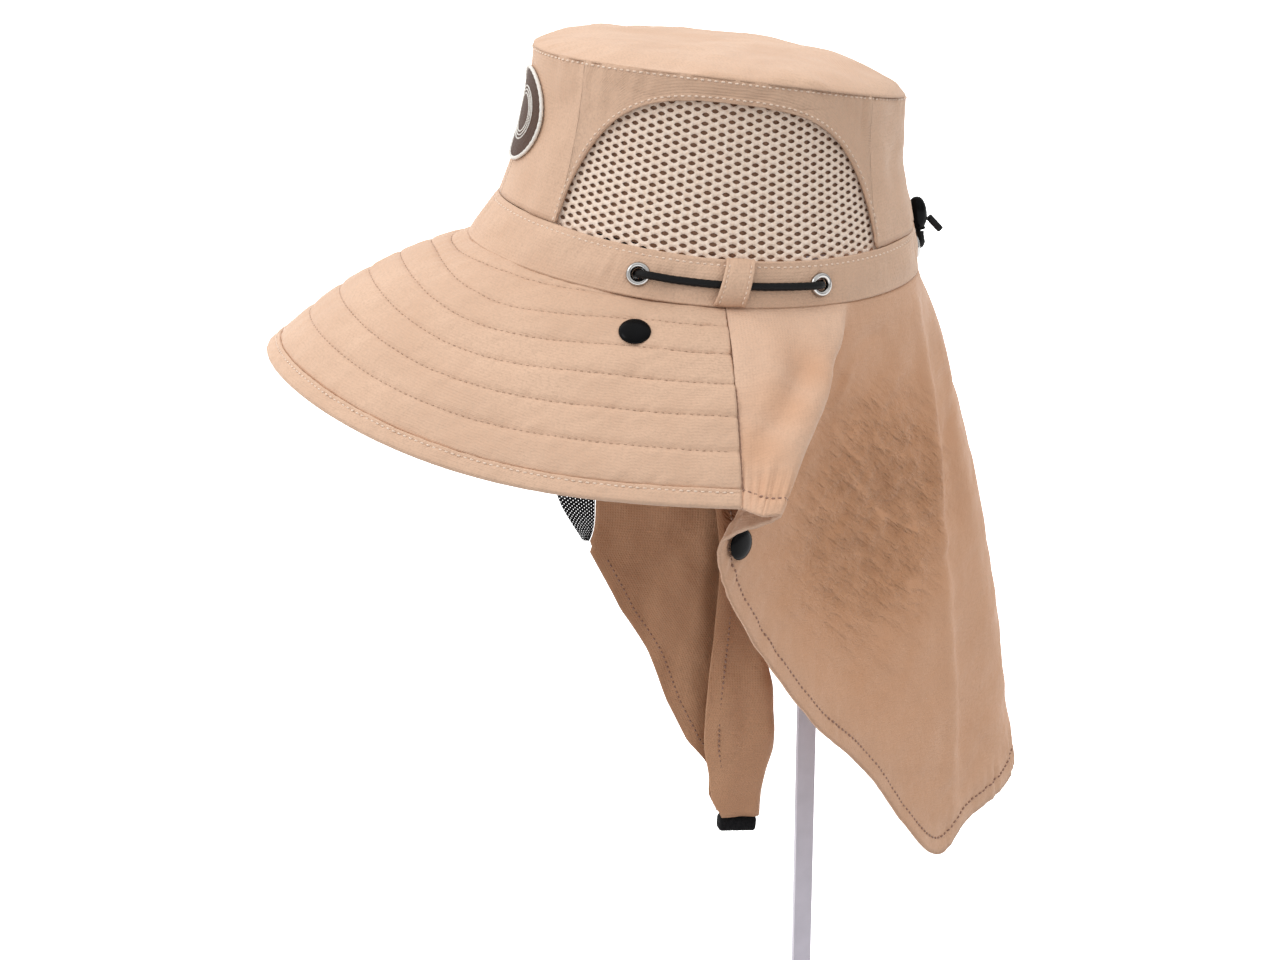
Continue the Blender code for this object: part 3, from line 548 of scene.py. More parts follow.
# Backing layer of the vent nets, much darker than the net: painted shade for the hat's inside seen through
# the holes
SHADED_BACK_NET = net_material("shaded_back_net", (0.46, 0.27, 0.18), (0.34, 0.19, 0.12), 0.0004)
BLACK_NET = net_material("black_net", (0.018, 0.018, 0.02), (0.008, 0.008, 0.01), 0.0002, 0.0, 0.1)
THREAD = thread_material("thread", (0.88, 0.73, 0.61), (0.70, 0.50, 0.37))
# Thread of the brim's quilting: a mid brown, darker than the pale thread, which paints the shade of the
# stitch grooves into the stitches
SHADED_BRIM_THREAD = thread_material("shaded_brim_thread", (0.52, 0.33, 0.23), (0.30, 0.18, 0.12))
DARK_THREAD = thread_material("dark_thread", (0.36, 0.20, 0.14), (0.24, 0.13, 0.09))
PALE_THREAD = thread_material("pale_thread", (0.82, 0.80, 0.76), (0.70, 0.66, 0.60))
BADGE = thread_material("badge", (0.085, 0.042, 0.026), (0.05, 0.025, 0.016), 0.0, 0.15)
CORD_BLACK = thread_material("cord_black", (0.006, 0.006, 0.007), (0.003, 0.003, 0.003), 0.0, 0.15)
TAB_BLACK = net_material("tab_black", (0.012, 0.012, 0.013), (0.004, 0.004, 0.005), 0.0006, 0.0, 0.1)
SNAP_BLACK = plastic_material("snap_black", (0.005, 0.005, 0.006), (0.003, 0.003, 0.003), 0.22)
CHROME = metal_material("chrome", (0.40, 0.39, 0.38), 0.16, 1.0, 900.0)
STAND_GREY = metal_material("stand_grey", (0.58, 0.55, 0.62), 0.45, 0.0, 700.0)


# Meshes


def spread(first, last, count):
    return [first + (last - first) * i / (count - 1) for i in range(count)]


def add_piece(name, verts, faces, paint, slot, nodes=(), uvs=None):
    """A piece written in the hat's frame, riding on the only body."""
    mesh = bpy.data.meshes.new(name)
    mesh.from_pydata([tuple(v) for v in verts], [], faces)
    if uvs is not None:
        layer = mesh.uv_layers.new(name="cloth")
        corners = np.empty(len(mesh.loops), int)
        mesh.loops.foreach_get("vertex_index", corners)
        layer.data.foreach_set("uv", np.array(uvs, float)[corners].ravel())
    mesh.transform(HAT)
    work = bmesh.new()
    work.from_mesh(mesh)
    bmesh.ops.recalc_face_normals(work, faces=work.faces)
    work.to_mesh(mesh)
    work.free()
    mesh.polygons.foreach_set("use_smooth", [True] * len(mesh.polygons))
    mesh.materials.append(paint)
    obj = bpy.data.objects.new(name, mesh)
    bpy.context.scene.collection.objects.link(obj)
    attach(obj, "root")
    if nodes:
        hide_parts(*nodes)
    return obj


def grid_normals(rows, ring):
    """Unit normals of a grid of points, as an array."""
    grid = np.array(rows)
    if ring:
        along = np.roll(grid, -1, 0) - np.roll(grid, 1, 0)
    else:
        along = np.gradient(grid, axis=0)
    across = np.gradient(grid, axis=1)
    normals = np.cross(along, across)
    normals /= np.linalg.norm(normals, axis=2, keepdims=True) + 1e-12
    if ((grid - np.array(INSIDE)) * normals).sum() < 0:
        normals = -normals
    return grid, normals


def grid_lengths(grid):
    """Running lengths along both ways of a grid, for the weave."""
    u = np.zeros(grid.shape[:2])
    v = np.zeros(grid.shape[:2])
    u[1:] = np.cumsum(np.linalg.norm(np.diff(grid, axis=0), axis=2), axis=0)
    v[:, 1:] = np.cumsum(np.linalg.norm(np.diff(grid, axis=1), axis=2), axis=1)
    return np.stack([u, v], 2).reshape(-1, 2)


def cloth(name, point, us, vs, wall, paint, slot, nodes=(), ring=False, relief=None, painted_shade=None):
    """A closed cloth wall round the surface point(u, v), with a relief laid on it.

    painted_shade(u, v, spot) marks from 0 to 1 where the cloth takes its painted shade.
    """
    rows = [[tuple(point(u, v)) for v in vs] for u in us]
    grid, normals = grid_normals(rows, ring)
    if relief:
        lift = np.array([[relief(u, v, grid[i, j]) for j, v in enumerate(vs)] for i, u in enumerate(us)])
        grid = grid + normals * lift[:, :, None]
        grid, normals = grid_normals(grid, ring)
    if callable(wall):
        half = np.array([[wall(u, v) / 2 for v in vs] for u in us])[:, :, None]
    else:
        half = wall / 2
    n, m = len(us), len(vs)
    verts = np.concatenate([(grid + normals * half).reshape(-1, 3), (grid - normals * half).reshape(-1, 3)])
    lengths = grid_lengths(grid)
    uvs = np.concatenate([lengths, lengths])
    back = n * m
    faces = []
    spans = n if ring else n - 1
    for i in range(spans):
        k = (i + 1) % n
        for j in range(m - 1):
            a, b, c, d = i * m + j, k * m + j, k * m + j + 1, i * m + j + 1
            faces.append((a, b, c, d))
            faces.append((back + d, back + c, back + b, back + a))
        faces.append((i * m, back + i * m, back + k * m, k * m))
        faces.append((i * m + m - 1, k * m + m - 1, back + k * m + m - 1, back + i * m + m - 1))
    if not ring:
        for i in (0, n - 1):
            for j in range(m - 1):
                a, b = i * m + j, i * m + j + 1
                faces.append((a, b, back + b, back + a))
    obj = add_piece(name, verts, faces, paint, slot, nodes, uvs)
    # The painted shade mark is stored on the points for the material
    if painted_shade:
        marks = [painted_shade(u, v, grid[i, j]) for i, u in enumerate(us) for j, v in enumerate(vs)]
        layer = obj.data.attributes.new("painted_shade", "FLOAT", "POINT")
        layer.data.foreach_set("value", marks + marks)
    return obj


def turned(name, profile, turns, middle, axis, paint, slot, nodes=(), ring=False):
    """A turned piece: profile pairs of radius and height, along axis from middle."""
    axis = axis.normalized()
    side = axis.cross(UP if abs(axis.z) < 0.9 else Vector((1, 0, 0))).normalized()
    other = axis.cross(side)
    verts = []
    rings = []
    for radius, height in profile:
        count = 1 if radius == 0 else turns
        rings.append([len(verts) + i for i in range(count)])
        for i in range(count):
            a = 2 * math.pi * i / turns
            verts.append(middle + axis * height + (side * math.cos(a) + other * math.sin(a)) * radius)
    pairs = list(zip(rings, rings[1:]))
    if ring:
        pairs.append((rings[-1], rings[0]))
    faces = []
    for low, high in pairs:
        for i in range(turns):
            k = (i + 1) % turns
            corners = [low[i % len(low)], low[k % len(low)], high[k % len(high)], high[i % len(high)]]
            faces.append(list(dict.fromkeys(corners)))
    return add_piece(name, verts, faces, paint, slot, nodes)


def resample(points, step):
    """Even points along a polyline."""
    line = np.array([tuple(p) for p in points])
    far = np.concatenate([[0], np.cumsum(np.linalg.norm(np.diff(line, axis=0), axis=1))])
    marks = np.linspace(0, far[-1], max(2, int(far[-1] / step) + 1))
    return np.stack([np.interp(marks, far, line[:, k]) for k in range(3)], 1)


def tube(name, points, width, paint, slot, nodes=(), braid=0.0, step=0.0009, sides=16):
    """A round tube along a smooth line; braid is the height of its crossing strands."""
    line = [Vector(p) for p in eased(points, step, 6)]
    verts = []
    up = UP
    for i, p in enumerate(line):
        ahead = (line[min(i + 1, len(line) - 1)] - line[max(i - 1, 0)]).normalized()
        side = ahead.cross(up)
        side = side.normalized() if side.length > 1e-6 else ahead.orthogonal().normalized()
        up = side.cross(ahead).normalized()
        for k in range(sides):
            a = 2 * math.pi * k / sides
            strand = math.sin(4 * a + i * 0.9) * math.sin(4 * a - i * 0.9)
            radius = width / 2 + braid * (strand - 0.6)
            verts.append(p + (side * math.cos(a) + up * math.sin(a)) * radius)
    return add_piece(name, verts, loft_faces(len(line), sides), paint, slot, nodes)


def loft_faces(rings, sides):
    """Faces between rings of points one after another, with both ends closed."""
    faces = []
    for i in range(rings - 1):
        for k in range(sides):
            j = (k + 1) % sides
            faces.append((i * sides + k, i * sides + j, (i + 1) * sides + j, (i + 1) * sides + k))
    last = (rings - 1) * sides
    return faces + [tuple(range(sides)), tuple(range(last, last + sides))]


def eased(points, step, passes):
    """Even points along a polyline with its corners eased."""
    line = resample(points, step)
    for _ in range(passes):
        line[1:-1] = (line[:-2] + 2 * line[1:-1] + line[2:]) / 4
    return line


class Seams:
    """Gathers the small thread dashes of one piece."""

    def __init__(self):
        self.verts = []
        self.faces = []

    def row(self, points, ups, pitch=STITCH_PITCH, length=STITCH_LENGTH, width=STITCH_WIDTH):
        line = np.array([tuple(p) for p in points])
        lift = np.array([tuple(n) for n in ups])
        far = np.concatenate([[0], np.cumsum(np.linalg.norm(np.diff(line, axis=0), axis=1))])
        count = int((far[-1] - length) / pitch)
        for i in range(count):
            ends = [pitch * (i + 0.5) - length / 2, pitch * (i + 0.5) + length / 2]
            places = [Vector(np.interp(s, far, line[:, k]) for k in range(3)) for s in ends]
            up = Vector(np.interp(sum(ends) / 2, far, lift[:, k]) for k in range(3)).normalized()
            self.dash(places[0], places[1], up, width)

    def dash(self, start, end, up, width):
        side = (end - start).cross(up).normalized() * width
        top = up * width
        first = len(self.verts)
        self.verts.append(start - up * width * 0.6)
        for share in (0.25, 0.75):
            middle = start.lerp(end, share)
            self.verts += [middle + side, middle + top, middle - side, middle - top]
        self.verts.append(end - up * width * 0.6)
        for k in range(4):
            j = (k + 1) % 4
            self.faces.append((first, first + 1 + j, first + 1 + k))
            self.faces.append((first + 1 + k, first + 1 + j, first + 5 + j, first + 5 + k))
            self.faces.append((first + 5 + k, first + 5 + j, first + 9))

    def sew(self, point, pairs, lift, facing=None, relief=None, **dashes):
        """A row of dashes along a list of (u, v), lifted off a surface."""
        spots, ups = follow(point, pairs, lift, facing, relief)
        self.row(spots, ups, **dashes)

    def add(self, name, paint, slot):
        return add_piece(name, self.verts, self.faces, paint, slot)


def follow(point, pairs, lift, facing=None, relief=None):
    """Points lifted off a surface with its relief, and their normals, along a list of (u, v)."""
    spots = []
    ups = []
    for u, v in pairs:
        step = 0.002
        along = point(u + step, v) - point(u - step, v)
        across = point(u, v + step) - point(u, v - step)
        up = along.cross(across).normalized()
        here = point(u, v)
        toward = facing if facing else here - INSIDE
        up = up if up.dot(toward) > 0 else -up
        raised = relief(u, v, here) if relief else 0.0
        spots.append(here + up * (lift + raised))
        ups.append(up)
    return spots, ups


def bell(distance, width):
    return math.exp(-((distance / width) ** 2))


def past(value, edge, width):
    """Rises softly from 0 to 1 where the value passes an edge."""
    return 1 / (1 + math.exp((edge - value) / width))


def ripple(p, scale, seed=0.0):
    return noise.noise(Vector((p[0] / scale + seed, p[1] / scale - seed, p[2] / scale)))


# Surfaces of the hat


def signed_angle(angle):
    """An angle from 0 to a full turn, as one from minus to plus half a turn."""
    return angle if angle <= math.pi else angle - 2 * math.pi


def all_round(level):
    """Places right round the hat at one level."""
    return [(2 * math.pi * k / ROUND_STEPS, level) for k in range(ROUND_STEPS + 1)]


def outward(angle, half_length=FOOT_HALF_LENGTH, half_width=FOOT_HALF_WIDTH):
    return Vector((half_length * math.sin(angle), -half_width * math.cos(angle), 0)).normalized()


def oval(angle, half_length, half_width, shift, height):
    return Vector((half_width * math.sin(angle), shift - half_length * math.cos(angle), height))


def foot(angle):
    height = FOOT_RISE - FOOT_SAG * math.sin(angle) ** 2
    return oval(angle, FOOT_HALF_LENGTH, FOOT_HALF_WIDTH, FOOT_SHIFT, height)


def head(angle):
    height = FOOT_RISE + BAND_HEIGHT - FOOT_SAG * math.sin(angle) ** 2
    return oval(angle, HEAD_HALF_LENGTH, HEAD_HALF_WIDTH, HEAD_SHIFT, height)


def seam(angle):
    height = SEAM_HEIGHT + SEAM_SADDLE * math.sin(angle) ** 2 + SEAM_PITCH * math.cos(angle)
    return oval(angle, SEAM_HALF_LENGTH, SEAM_HALF_WIDTH, HEAD_SHIFT, height)


def crown(angle, rise):
    """The crown's wall, from the band (0) up to the top seam (1)."""
    flat = head(angle).lerp(seam(angle), rise)
    return flat - outward(angle) * WALL_SINK * math.sin(math.pi * rise)


def band(angle, rise):
    return foot(angle).lerp(head(angle), rise)


def band_out(angle):
    along = band(angle + 0.01, 0.5) - band(angle - 0.01, 0.5)
    return along.cross(head(angle) - foot(angle)).normalized()


def window_rise(angle):
    """Height of the arch over this angle, as a share of the wall, or 0 outside it."""
    share = abs(abs(angle) - WINDOW_MIDDLE) / WINDOW_HALF_ANGLE
    if share >= 1:
        return 0.0
    return WINDOW_TOP * math.sqrt(1 - share**WINDOW_POWER)


def wall_foot(angle):
    """Where the crown's wall starts: on the band, or on the window's arch."""
    return max(window_rise(angle), GAP / SEAM_HEIGHT)


def crown_top(share, angle):
    edge = seam(angle) + outward(angle) * TOP_EDGE
    middle = Vector((0, HEAD_SHIFT, SEAM_HEIGHT + TOP_DOME))
    flat = middle.lerp(edge, share)
    flat.z = edge.z + (SEAM_HEIGHT + TOP_DOME - edge.z) * (1 - share**TOP_SHOULDER)
    return flat


def slope_and_curl(angle):
    side = math.sin(angle) ** 2
    slope = SLOPE_FRONT + (SLOPE_SIDE - SLOPE_FRONT) * side
    slope += SLOPE_QUARTER * math.sin(2 * angle) ** 2
    return slope, CURL_FRONT + (CURL_SIDE - CURL_FRONT) * side


def brim_width(angle):
    return BRIM_FRONT - BRIM_SIDE_LOSS * math.sin(angle) ** 2


def brim_out(angle, out):
    """The brim's middle surface, a distance out from the band, bending down as it goes."""
    slope, curl = slope_and_curl(angle)
    bend = curl * out * out / 2
    flat = out * math.cos(slope) - bend * math.sin(slope)
    drop = out * math.sin(slope) + bend * math.cos(slope)
    start = foot(angle) - Vector((0, 0, BRIM_WALL / 2 + 2 * GAP))
    return start + outward(angle) * flat - Vector((0, 0, drop))


def brim_in(angle, inward):
    """The same surface, measured in from the brim's outer edge."""
    return brim_out(angle, brim_width(angle) - inward)


def smooth(values, place):
    """Catmull-Rom curve through a list, at a place counted in steps."""
    last = len(values) - 1
    step = min(int(place), last - 1)
    t = place - step
    p0, p1, p2, p3 = (values[min(max(step + k, 0), last)] for k in (-1, 0, 1, 2))
    cubic = (3 * p1 - 3 * p2 + p3 - p0) * t**3
    return p1 + ((p2 - p0) * t + (2 * p0 - 5 * p1 + 4 * p2 - p3) * t**2 + cubic) / 2


def flap_columns(side):
    """Angle, hem point and bow of each fold on one side, from the brim's end to the back."""
    angles = [BRIM_END]
    hems = [brim_in(BRIM_END, 0.0)]
    bows = [CURL_SIDE * brim_width(BRIM_END) ** 2 / 8]
    for row in FLAP_FOLDS:
        angles.append(math.radians(row["angle"]))
        across = FOOT_HALF_WIDTH * row["side"]
        hems.append(Vector((across, FOOT_HALF_LENGTH * row["back"], -FLAP_DROP * row["down"])))
        bows.append(FLAP_BOW * row["bow"])
    mirrored = [Vector((h.x * side, h.y, h.z)) for h in hems]
    return [a * side for a in angles], mirrored, bows


LEFT_ANGLES, LEFT_HEMS, LEFT_BOWS = flap_columns(1)
RIGHT_ANGLES, RIGHT_HEMS, RIGHT_BOWS = flap_columns(-1)
FLAP_ANGLES = LEFT_ANGLES + [2 * math.pi + a for a in RIGHT_ANGLES[-2::-1]]
FLAP_HEMS = LEFT_HEMS + RIGHT_HEMS[-2::-1]
FLAP_BOWS = LEFT_BOWS + RIGHT_BOWS[-2::-1]
FLAP_STEPS = len(FLAP_ANGLES) - 1


def flap(place, down):
    """The neck flap's middle surface: place in folds from the left end, down from 0 to 1."""
    angle = smooth(FLAP_ANGLES, place)
    hem = smooth(FLAP_HEMS, place)
    start = foot(angle) - Vector((0, 0, SHELL / 2 + GAP))
    chord = hem - start
    along = chord.normalized()
    out = outward(angle)
    push = (out - along * out.dot(along)).normalized()
    bow = smooth(FLAP_BOWS, place) * math.sin(math.pi * max(down, 0.0) ** 0.75)
    return start + chord * down + push * bow


def cover_row(down):
    """One height of the cover: the row's shares at this depth."""
    depths = [row["down"] for row in COVER_ROWS]
    step = 0
    while step < len(depths) - 2 and down > depths[step + 1]:
        step += 1
    share = (down - depths[step]) / (depths[step + 1] - depths[step])
    keys = ("edge", "fold", "inner", "far", "near")
    return {key: smooth([row[key] for row in COVER_ROWS], step + share) for key in keys}


def inside_band(along):
    """How far right the band's inner face lies at a place along the hat, less a cloth's seat."""
    share = (along - FOOT_SHIFT) / FOOT_HALF_LENGTH
    seat = BAND_WALL / 2 + COVER_WALL / 2 + GAP
    return FOOT_HALF_WIDTH * math.sqrt(1 - share * share) - seat


def cover(across, down):
    """The face cover: across from the far front edge (0) round the fold to the inner edge (1)."""
    row = cover_row(down)
    far = FOOT_HALF_WIDTH * row["far"]
    near = FOOT_HALF_WIDTH * row["near"]
    edge, fold, inner = (FOOT_HALF_LENGTH * row[key] for key in ("edge", "fold", "inner"))
    turn = (far - near) / 2
    height = -COVER_TOP - (COVER_DROP - COVER_TOP) * down
    if across < COVER_FAR_END:
        along = edge + (fold - turn - edge) * across / COVER_FAR_END
        sewn = max(0.0, 1 - down / COVER_SEWN) * (1 - across / COVER_FAR_END) ** 0.25
        return Vector((-far - (inside_band(along) - far) * sewn, along, height))
    if across < COVER_TURN_END:
        sweep = math.pi * (across - COVER_FAR_END) / (COVER_TURN_END - COVER_FAR_END)
        middle = (far + near) / 2 + turn * math.cos(sweep)
        return Vector((-middle, fold - turn + turn * math.sin(sweep), height))
    share = (across - COVER_TURN_END) / (1 - COVER_TURN_END)
    return Vector((-near, fold - turn + (inner - fold + turn) * share, height))


def far_layer(down):
    """Length of the far layer at this depth."""
    row = cover_row(down)
    turn = FOOT_HALF_WIDTH * (row["far"] - row["near"]) / 2
    return FOOT_HALF_LENGTH * (row["fold"] - row["edge"]) - turn


def mesh_share(down):
    """Width of the black net at this depth, as a share of the whole cover."""
    if down > MESH_END:
        return 0.0
    width = MESH_WIDTH * max(MESH_FOOT, 1 - (down / MESH_END) ** 8)
    return COVER_FAR_END * width / far_layer(down)


# Crown


def build_top():
    turns = 240
    rings = 34
    shares = [0.0] + [1 - (1 - i / rings) ** 1.3 for i in range(1, rings + 1)]

    def relief(share, angle):
        spot = crown_top(share, angle)
        rim = bell(1 - share, 0.16)
        lift = 0.0016 * ripple(spot, 0.034) + 0.0007 * ripple(spot, 0.012, 3.0)
        lift += 0.0022 * max(0.0, ripple((angle * 5, share * 2, 0), 1.0, 5.0)) * rim
        lift += 0.0005 * ripple((angle * 16, share * 3, 0), 1.0, 7.0) * rim
        return lift * min(1.0, (1 - share) / 0.03)

    verts = []
    for side in (0.0, SHELL * 0.5):
        verts.append(crown_top(0.0, 0.0) + Vector((0, 0, relief(0.0, 0.0) - side)))
        for share in shares[1:]:
            for k in range(turns):
                a = 2 * math.pi * k / turns
                verts.append(crown_top(share, a) + Vector((0, 0, relief(share, a) - side)))
    back = len(verts) // 2
    faces = []
    for start in (0, back):
        for k in range(turns):
            j = (k + 1) % turns
            faces.append((start, start + 1 + k, start + 1 + j))
            for r in range(rings - 1):
                low = start + 1 + r * turns
                faces.append((low + k, low + turns + k, low + turns + j, low + j))
    rim = 1 + (rings - 1) * turns
    for k in range(turns):
        j = (k + 1) % turns
        faces.append((rim + k, back + rim + k, back + rim + j, rim + j))
    flat = [(v.x, v.y) for v in verts]
    add_piece("crown_panel", verts, faces, NYLON, "nylon", ["crown_top"], flat)


def arch_points(side):
    """Places along the window's edge on one side."""
    steps = 90
    points = []
    for k in range(steps + 1):
        share = -math.cos(math.pi * k / steps)
        angle = WINDOW_MIDDLE + share * WINDOW_HALF_ANGLE
        points.append((side * angle, max(window_rise(angle), ARCH_FOOT)))
    return points


def build_crown():
    arches = np.array([tuple(crown(a, r)) for side in (1, -1) for a, r in arch_points(side)])
    first = WINDOW_MIDDLE - WINDOW_HALF_ANGLE
    last = WINDOW_MIDDLE + WINDOW_HALF_ANGLE
    edge = math.radians(0.15)
    inside = [first + (last - first) * (0.5 - 0.5 * math.cos(math.pi * k / 84)) for k in range(1, 84)]
    front = spread(0.0, first - edge, 26)
    back = spread(last + edge, math.pi, 26)
    half = front + [first + edge * 0.2] + inside + [last - edge * 0.2] + back
    angles = half + [2 * math.pi - a for a in half[-2:0:-1]]
    lift = SHELL * 0.2 / (SEAM_HEIGHT - BAND_HEIGHT)

    def wall(angle, share):
        signed = signed_angle(angle)
        low = wall_foot(signed)
        return crown(signed, low + (1 - lift - low) * share)

    def relief(angle, share, spot):
        near = np.sqrt(((arches - spot) ** 2).sum(1)).min()
        raised = 0.00035 * past(WINDOW_FOLD, near, 0.0003)
        groove = -0.0003 * bell(near - WINDOW_STITCH, 0.0005)
        under = SEAM_HEIGHT - BAND_HEIGHT - spot[2] + head(angle).z
        high = -0.0003 * bell(under - CROWN_STITCH, 0.0005)
        pull = 0.0011 * ripple((angle * 20, share * 1.5, 0), 1.0) * bell(under, 0.014)
        soft = 0.0020 * ripple(spot, 0.026, 2.0) + 0.0007 * ripple(spot, 0.010, 6.0)
        soft *= min(1.0, near / 0.014)
        beside = min(1.0, max(0.0, abs(signed_angle(angle)) / BADGE_HALF_ANGLE - 0.9) / 0.5)
        return raised + groove + high + (pull + soft) * beside

    rises = spread(0, 1, 27)
    cloth("crown_side", wall, angles, rises, SHELL, NYLON, "nylon", ["crown_wall"], True, relief)

    def thread_relief(angle, rise, spot):
        around = angle % (2 * math.pi)
        low = wall_foot(signed_angle(around))
        return relief(around, (rise - low) / (1 - lift - low), np.array(spot))

    thread = Seams()
    for side in (1, -1):
        stitched = [crown_inset(side, k / 100, WINDOW_STITCH) for k in range(101)]
        thread.sew(crown, stitched, SHELL / 2 + 0.0002, relief=thread_relief)
    high = 1 - CROWN_STITCH / (SEAM_HEIGHT - BAND_HEIGHT)
    thread.sew(crown, all_round(high), SHELL / 2 + 0.0002, relief=thread_relief)
    thread.add("crown_stitches", THREAD, "nylon")


def crown_inset(side, along, inset):
    """A place on the crown outside the window's arch, a distance off its edge."""
    turn = math.pi * along
    share = -math.cos(turn)
    angle = WINDOW_MIDDLE + share * WINDOW_HALF_ANGLE
    rise = max(window_rise(angle), ARCH_FOOT)
    wide = FOOT_HALF_LENGTH * WINDOW_HALF_ANGLE
    tall = (SEAM_HEIGHT - BAND_HEIGHT) * WINDOW_TOP
    height = math.sqrt(1 - min(1, abs(share)) ** WINDOW_POWER)
    away = Vector((share * abs(share) * tall, height * wide)).normalized()
    angle += away.x * inset / HEAD_HALF_LENGTH
    rise += away.y * inset / (SEAM_HEIGHT - BAND_HEIGHT)
    return side * angle, rise


def pierced(name, place, columns, rows, hole, wall, keep, paint, slot, nodes, uv_step):
    """A net of cells with lens holes. place(x, y, off) gives a point; cells are counted from 0.

    keep(x, y) says which cells are made; without it all are.
    """
    corners = ((-0.5, -0.5), (0, -0.5), (0.5, -0.5), (0.5, 0), (0.5, 0.5), (0, 0.5), (-0.5, 0.5), (-0.5, 0))
    lens = [(dx * 0.6, dy * 0.68) if dx and dy else (dx, dy) for dx, dy in corners]
    layers = ((1.0, wall / 2), (0.90, 0.0), (1.0, -wall / 2))
    verts = []
    faces = []
    uvs = []
    known = {}

    def inner(x, y, off):
        verts.append(place(x, y, off))
        uvs.append((x * uv_step, y * uv_step))
        return len(verts) - 1

    def shared(x, y, off):
        key = (round(x * 4), round(y * 4), off)
        if key not in known:
            known[key] = inner(x, y, off)
        return known[key]

    for c in range(columns):
        for r in range(rows):
            x, y = c, r + (0.5 if c % 2 else 0.0) - 0.5
            if keep and not keep(x, y):
                continue
            rings = []
            for grow, off in layers:
                wide, tall = hole[0] * grow, hole[1] * grow
                rings.append([inner(x + dx * wide, y + dy * tall, off) for dx, dy in lens])
            front = [shared(x + dx, y + dy, layers[0][1]) for dx, dy in corners]
            rear = [shared(x + dx, y + dy, layers[2][1]) for dx, dy in corners]
            loops = [front] + rings + [rear]
            for k in range(8):
                j = (k + 1) % 8
                for low, high in zip(loops, loops[1:]):
                    faces.append((low[k], low[j], high[j], high[k]))
    add_edge_walls(faces, verts)
    return add_piece(name, verts, faces, paint, slot, nodes, uvs)


def add_edge_walls(faces, verts):
    """Joins the two outer rims of a two-layer net, where an edge has one face only."""
    used = {}
    for face in faces:
        for a, b in zip(face, face[1:] + face[:1]):
            used.setdefault((min(a, b), max(a, b)), []).append((a, b))
    loose = [edges[0] for edges in used.values() if len(edges) == 1]
    spots = {}
    for a, b in loose:
        for v in (a, b):
            spots[v] = verts[v]
    keys = list(spots)
    where = np.array([tuple(spots[k]) for k in keys])
    other = {}
    for i, k in enumerate(keys):
        away = ((where - where[i]) ** 2).sum(1)
        away[i] = 1.0
        other[k] = keys[int(away.argmin())]
    seen = set()
    for a, b in loose:
        c, d = other[b], other[a]
        pair = frozenset((a, b, c, d))
        if pair in seen or len(pair) < 4:
            continue
        seen.add(pair)
        faces.append((b, a, d, c))


def build_vents():
    set_in = SHELL / 2 + NET / 2 + NET_BACK
    middle_radius = (HEAD_HALF_LENGTH + SEAM_HALF_LENGTH) / 2
    tall = (seam(WINDOW_MIDDLE) - head(WINDOW_MIDDLE)).length
    reach = WINDOW_HALF_ANGLE * middle_radius
    columns = int(2 * reach / NET_COLUMN) + 3
    rows = int(WINDOW_TOP * tall / NET_ROW) + 3
    for name, side in (("vent_mesh_left", 1), ("vent_mesh_right", -1)):

        def place(x, y, off, side=side):
            along = (x - (columns - 1) / 2) * NET_COLUMN
            angle = side * (WINDOW_MIDDLE + along / middle_radius)
            rise = (y - 0.2) * NET_ROW / tall
            return crown(angle, rise) - outward(angle) * (set_in - off)

        def keep(x, y):
            along = abs(x - (columns - 1) / 2) * NET_COLUMN
            share = along / (reach + 0.0035)
            if share >= 1:
                return False
            arch = WINDOW_TOP * tall * math.sqrt(1 - share**WINDOW_POWER)
            return (y - 0.2) * NET_ROW < arch + 0.0040

        def behind(share, rise, side=side):
            angle = side * (WINDOW_MIDDLE + share * (WINDOW_HALF_ANGLE + 0.03))
            high = 0.04 + WINDOW_TOP * math.sqrt(max(0.0, 1 - abs(share) ** WINDOW_POWER))
            return crown(angle, 0.008 + (high - 0.008) * rise) - outward(angle) * (set_in + NET * 1.6)

        shares = [-math.cos(math.pi * k / 40) for k in range(41)]
        tag = "vent_back_left" if side > 0 else "vent_back_right"
        # The net's backing layer, in a dark brown that paints the shade seen through the holes
        cloth(tag, behind, shares, spread(0, 1, 21), NET * 0.4, SHADED_BACK_NET, "net")
        hole = (NET_HOLE[0] / NET_COLUMN, NET_HOLE[1] / NET_ROW)
        net = name.replace("mesh", "net")
        size = (columns, rows, hole, NET * 0.7)
        pierced(net, place, *size, keep, VENT_NET, "net", [name], NET_COLUMN)


# Band, eyelets, cord and loops


def cut_holes(obj, drills):
    """Cuts round holes through a piece and keeps the result as its own mesh."""
    for drill in drills:
        cut = obj.modifiers.new("hole", "BOOLEAN")
        cut.operation = "DIFFERENCE"
        cut.object = drill
    bpy.context.view_layer.update()
    made = bpy.data.meshes.new_from_object(obj.evaluated_get(bpy.context.evaluated_depsgraph_get()))
    obj.modifiers.clear()
    obj.data = made
    for drill in drills:
        bpy.data.objects.remove(drill)


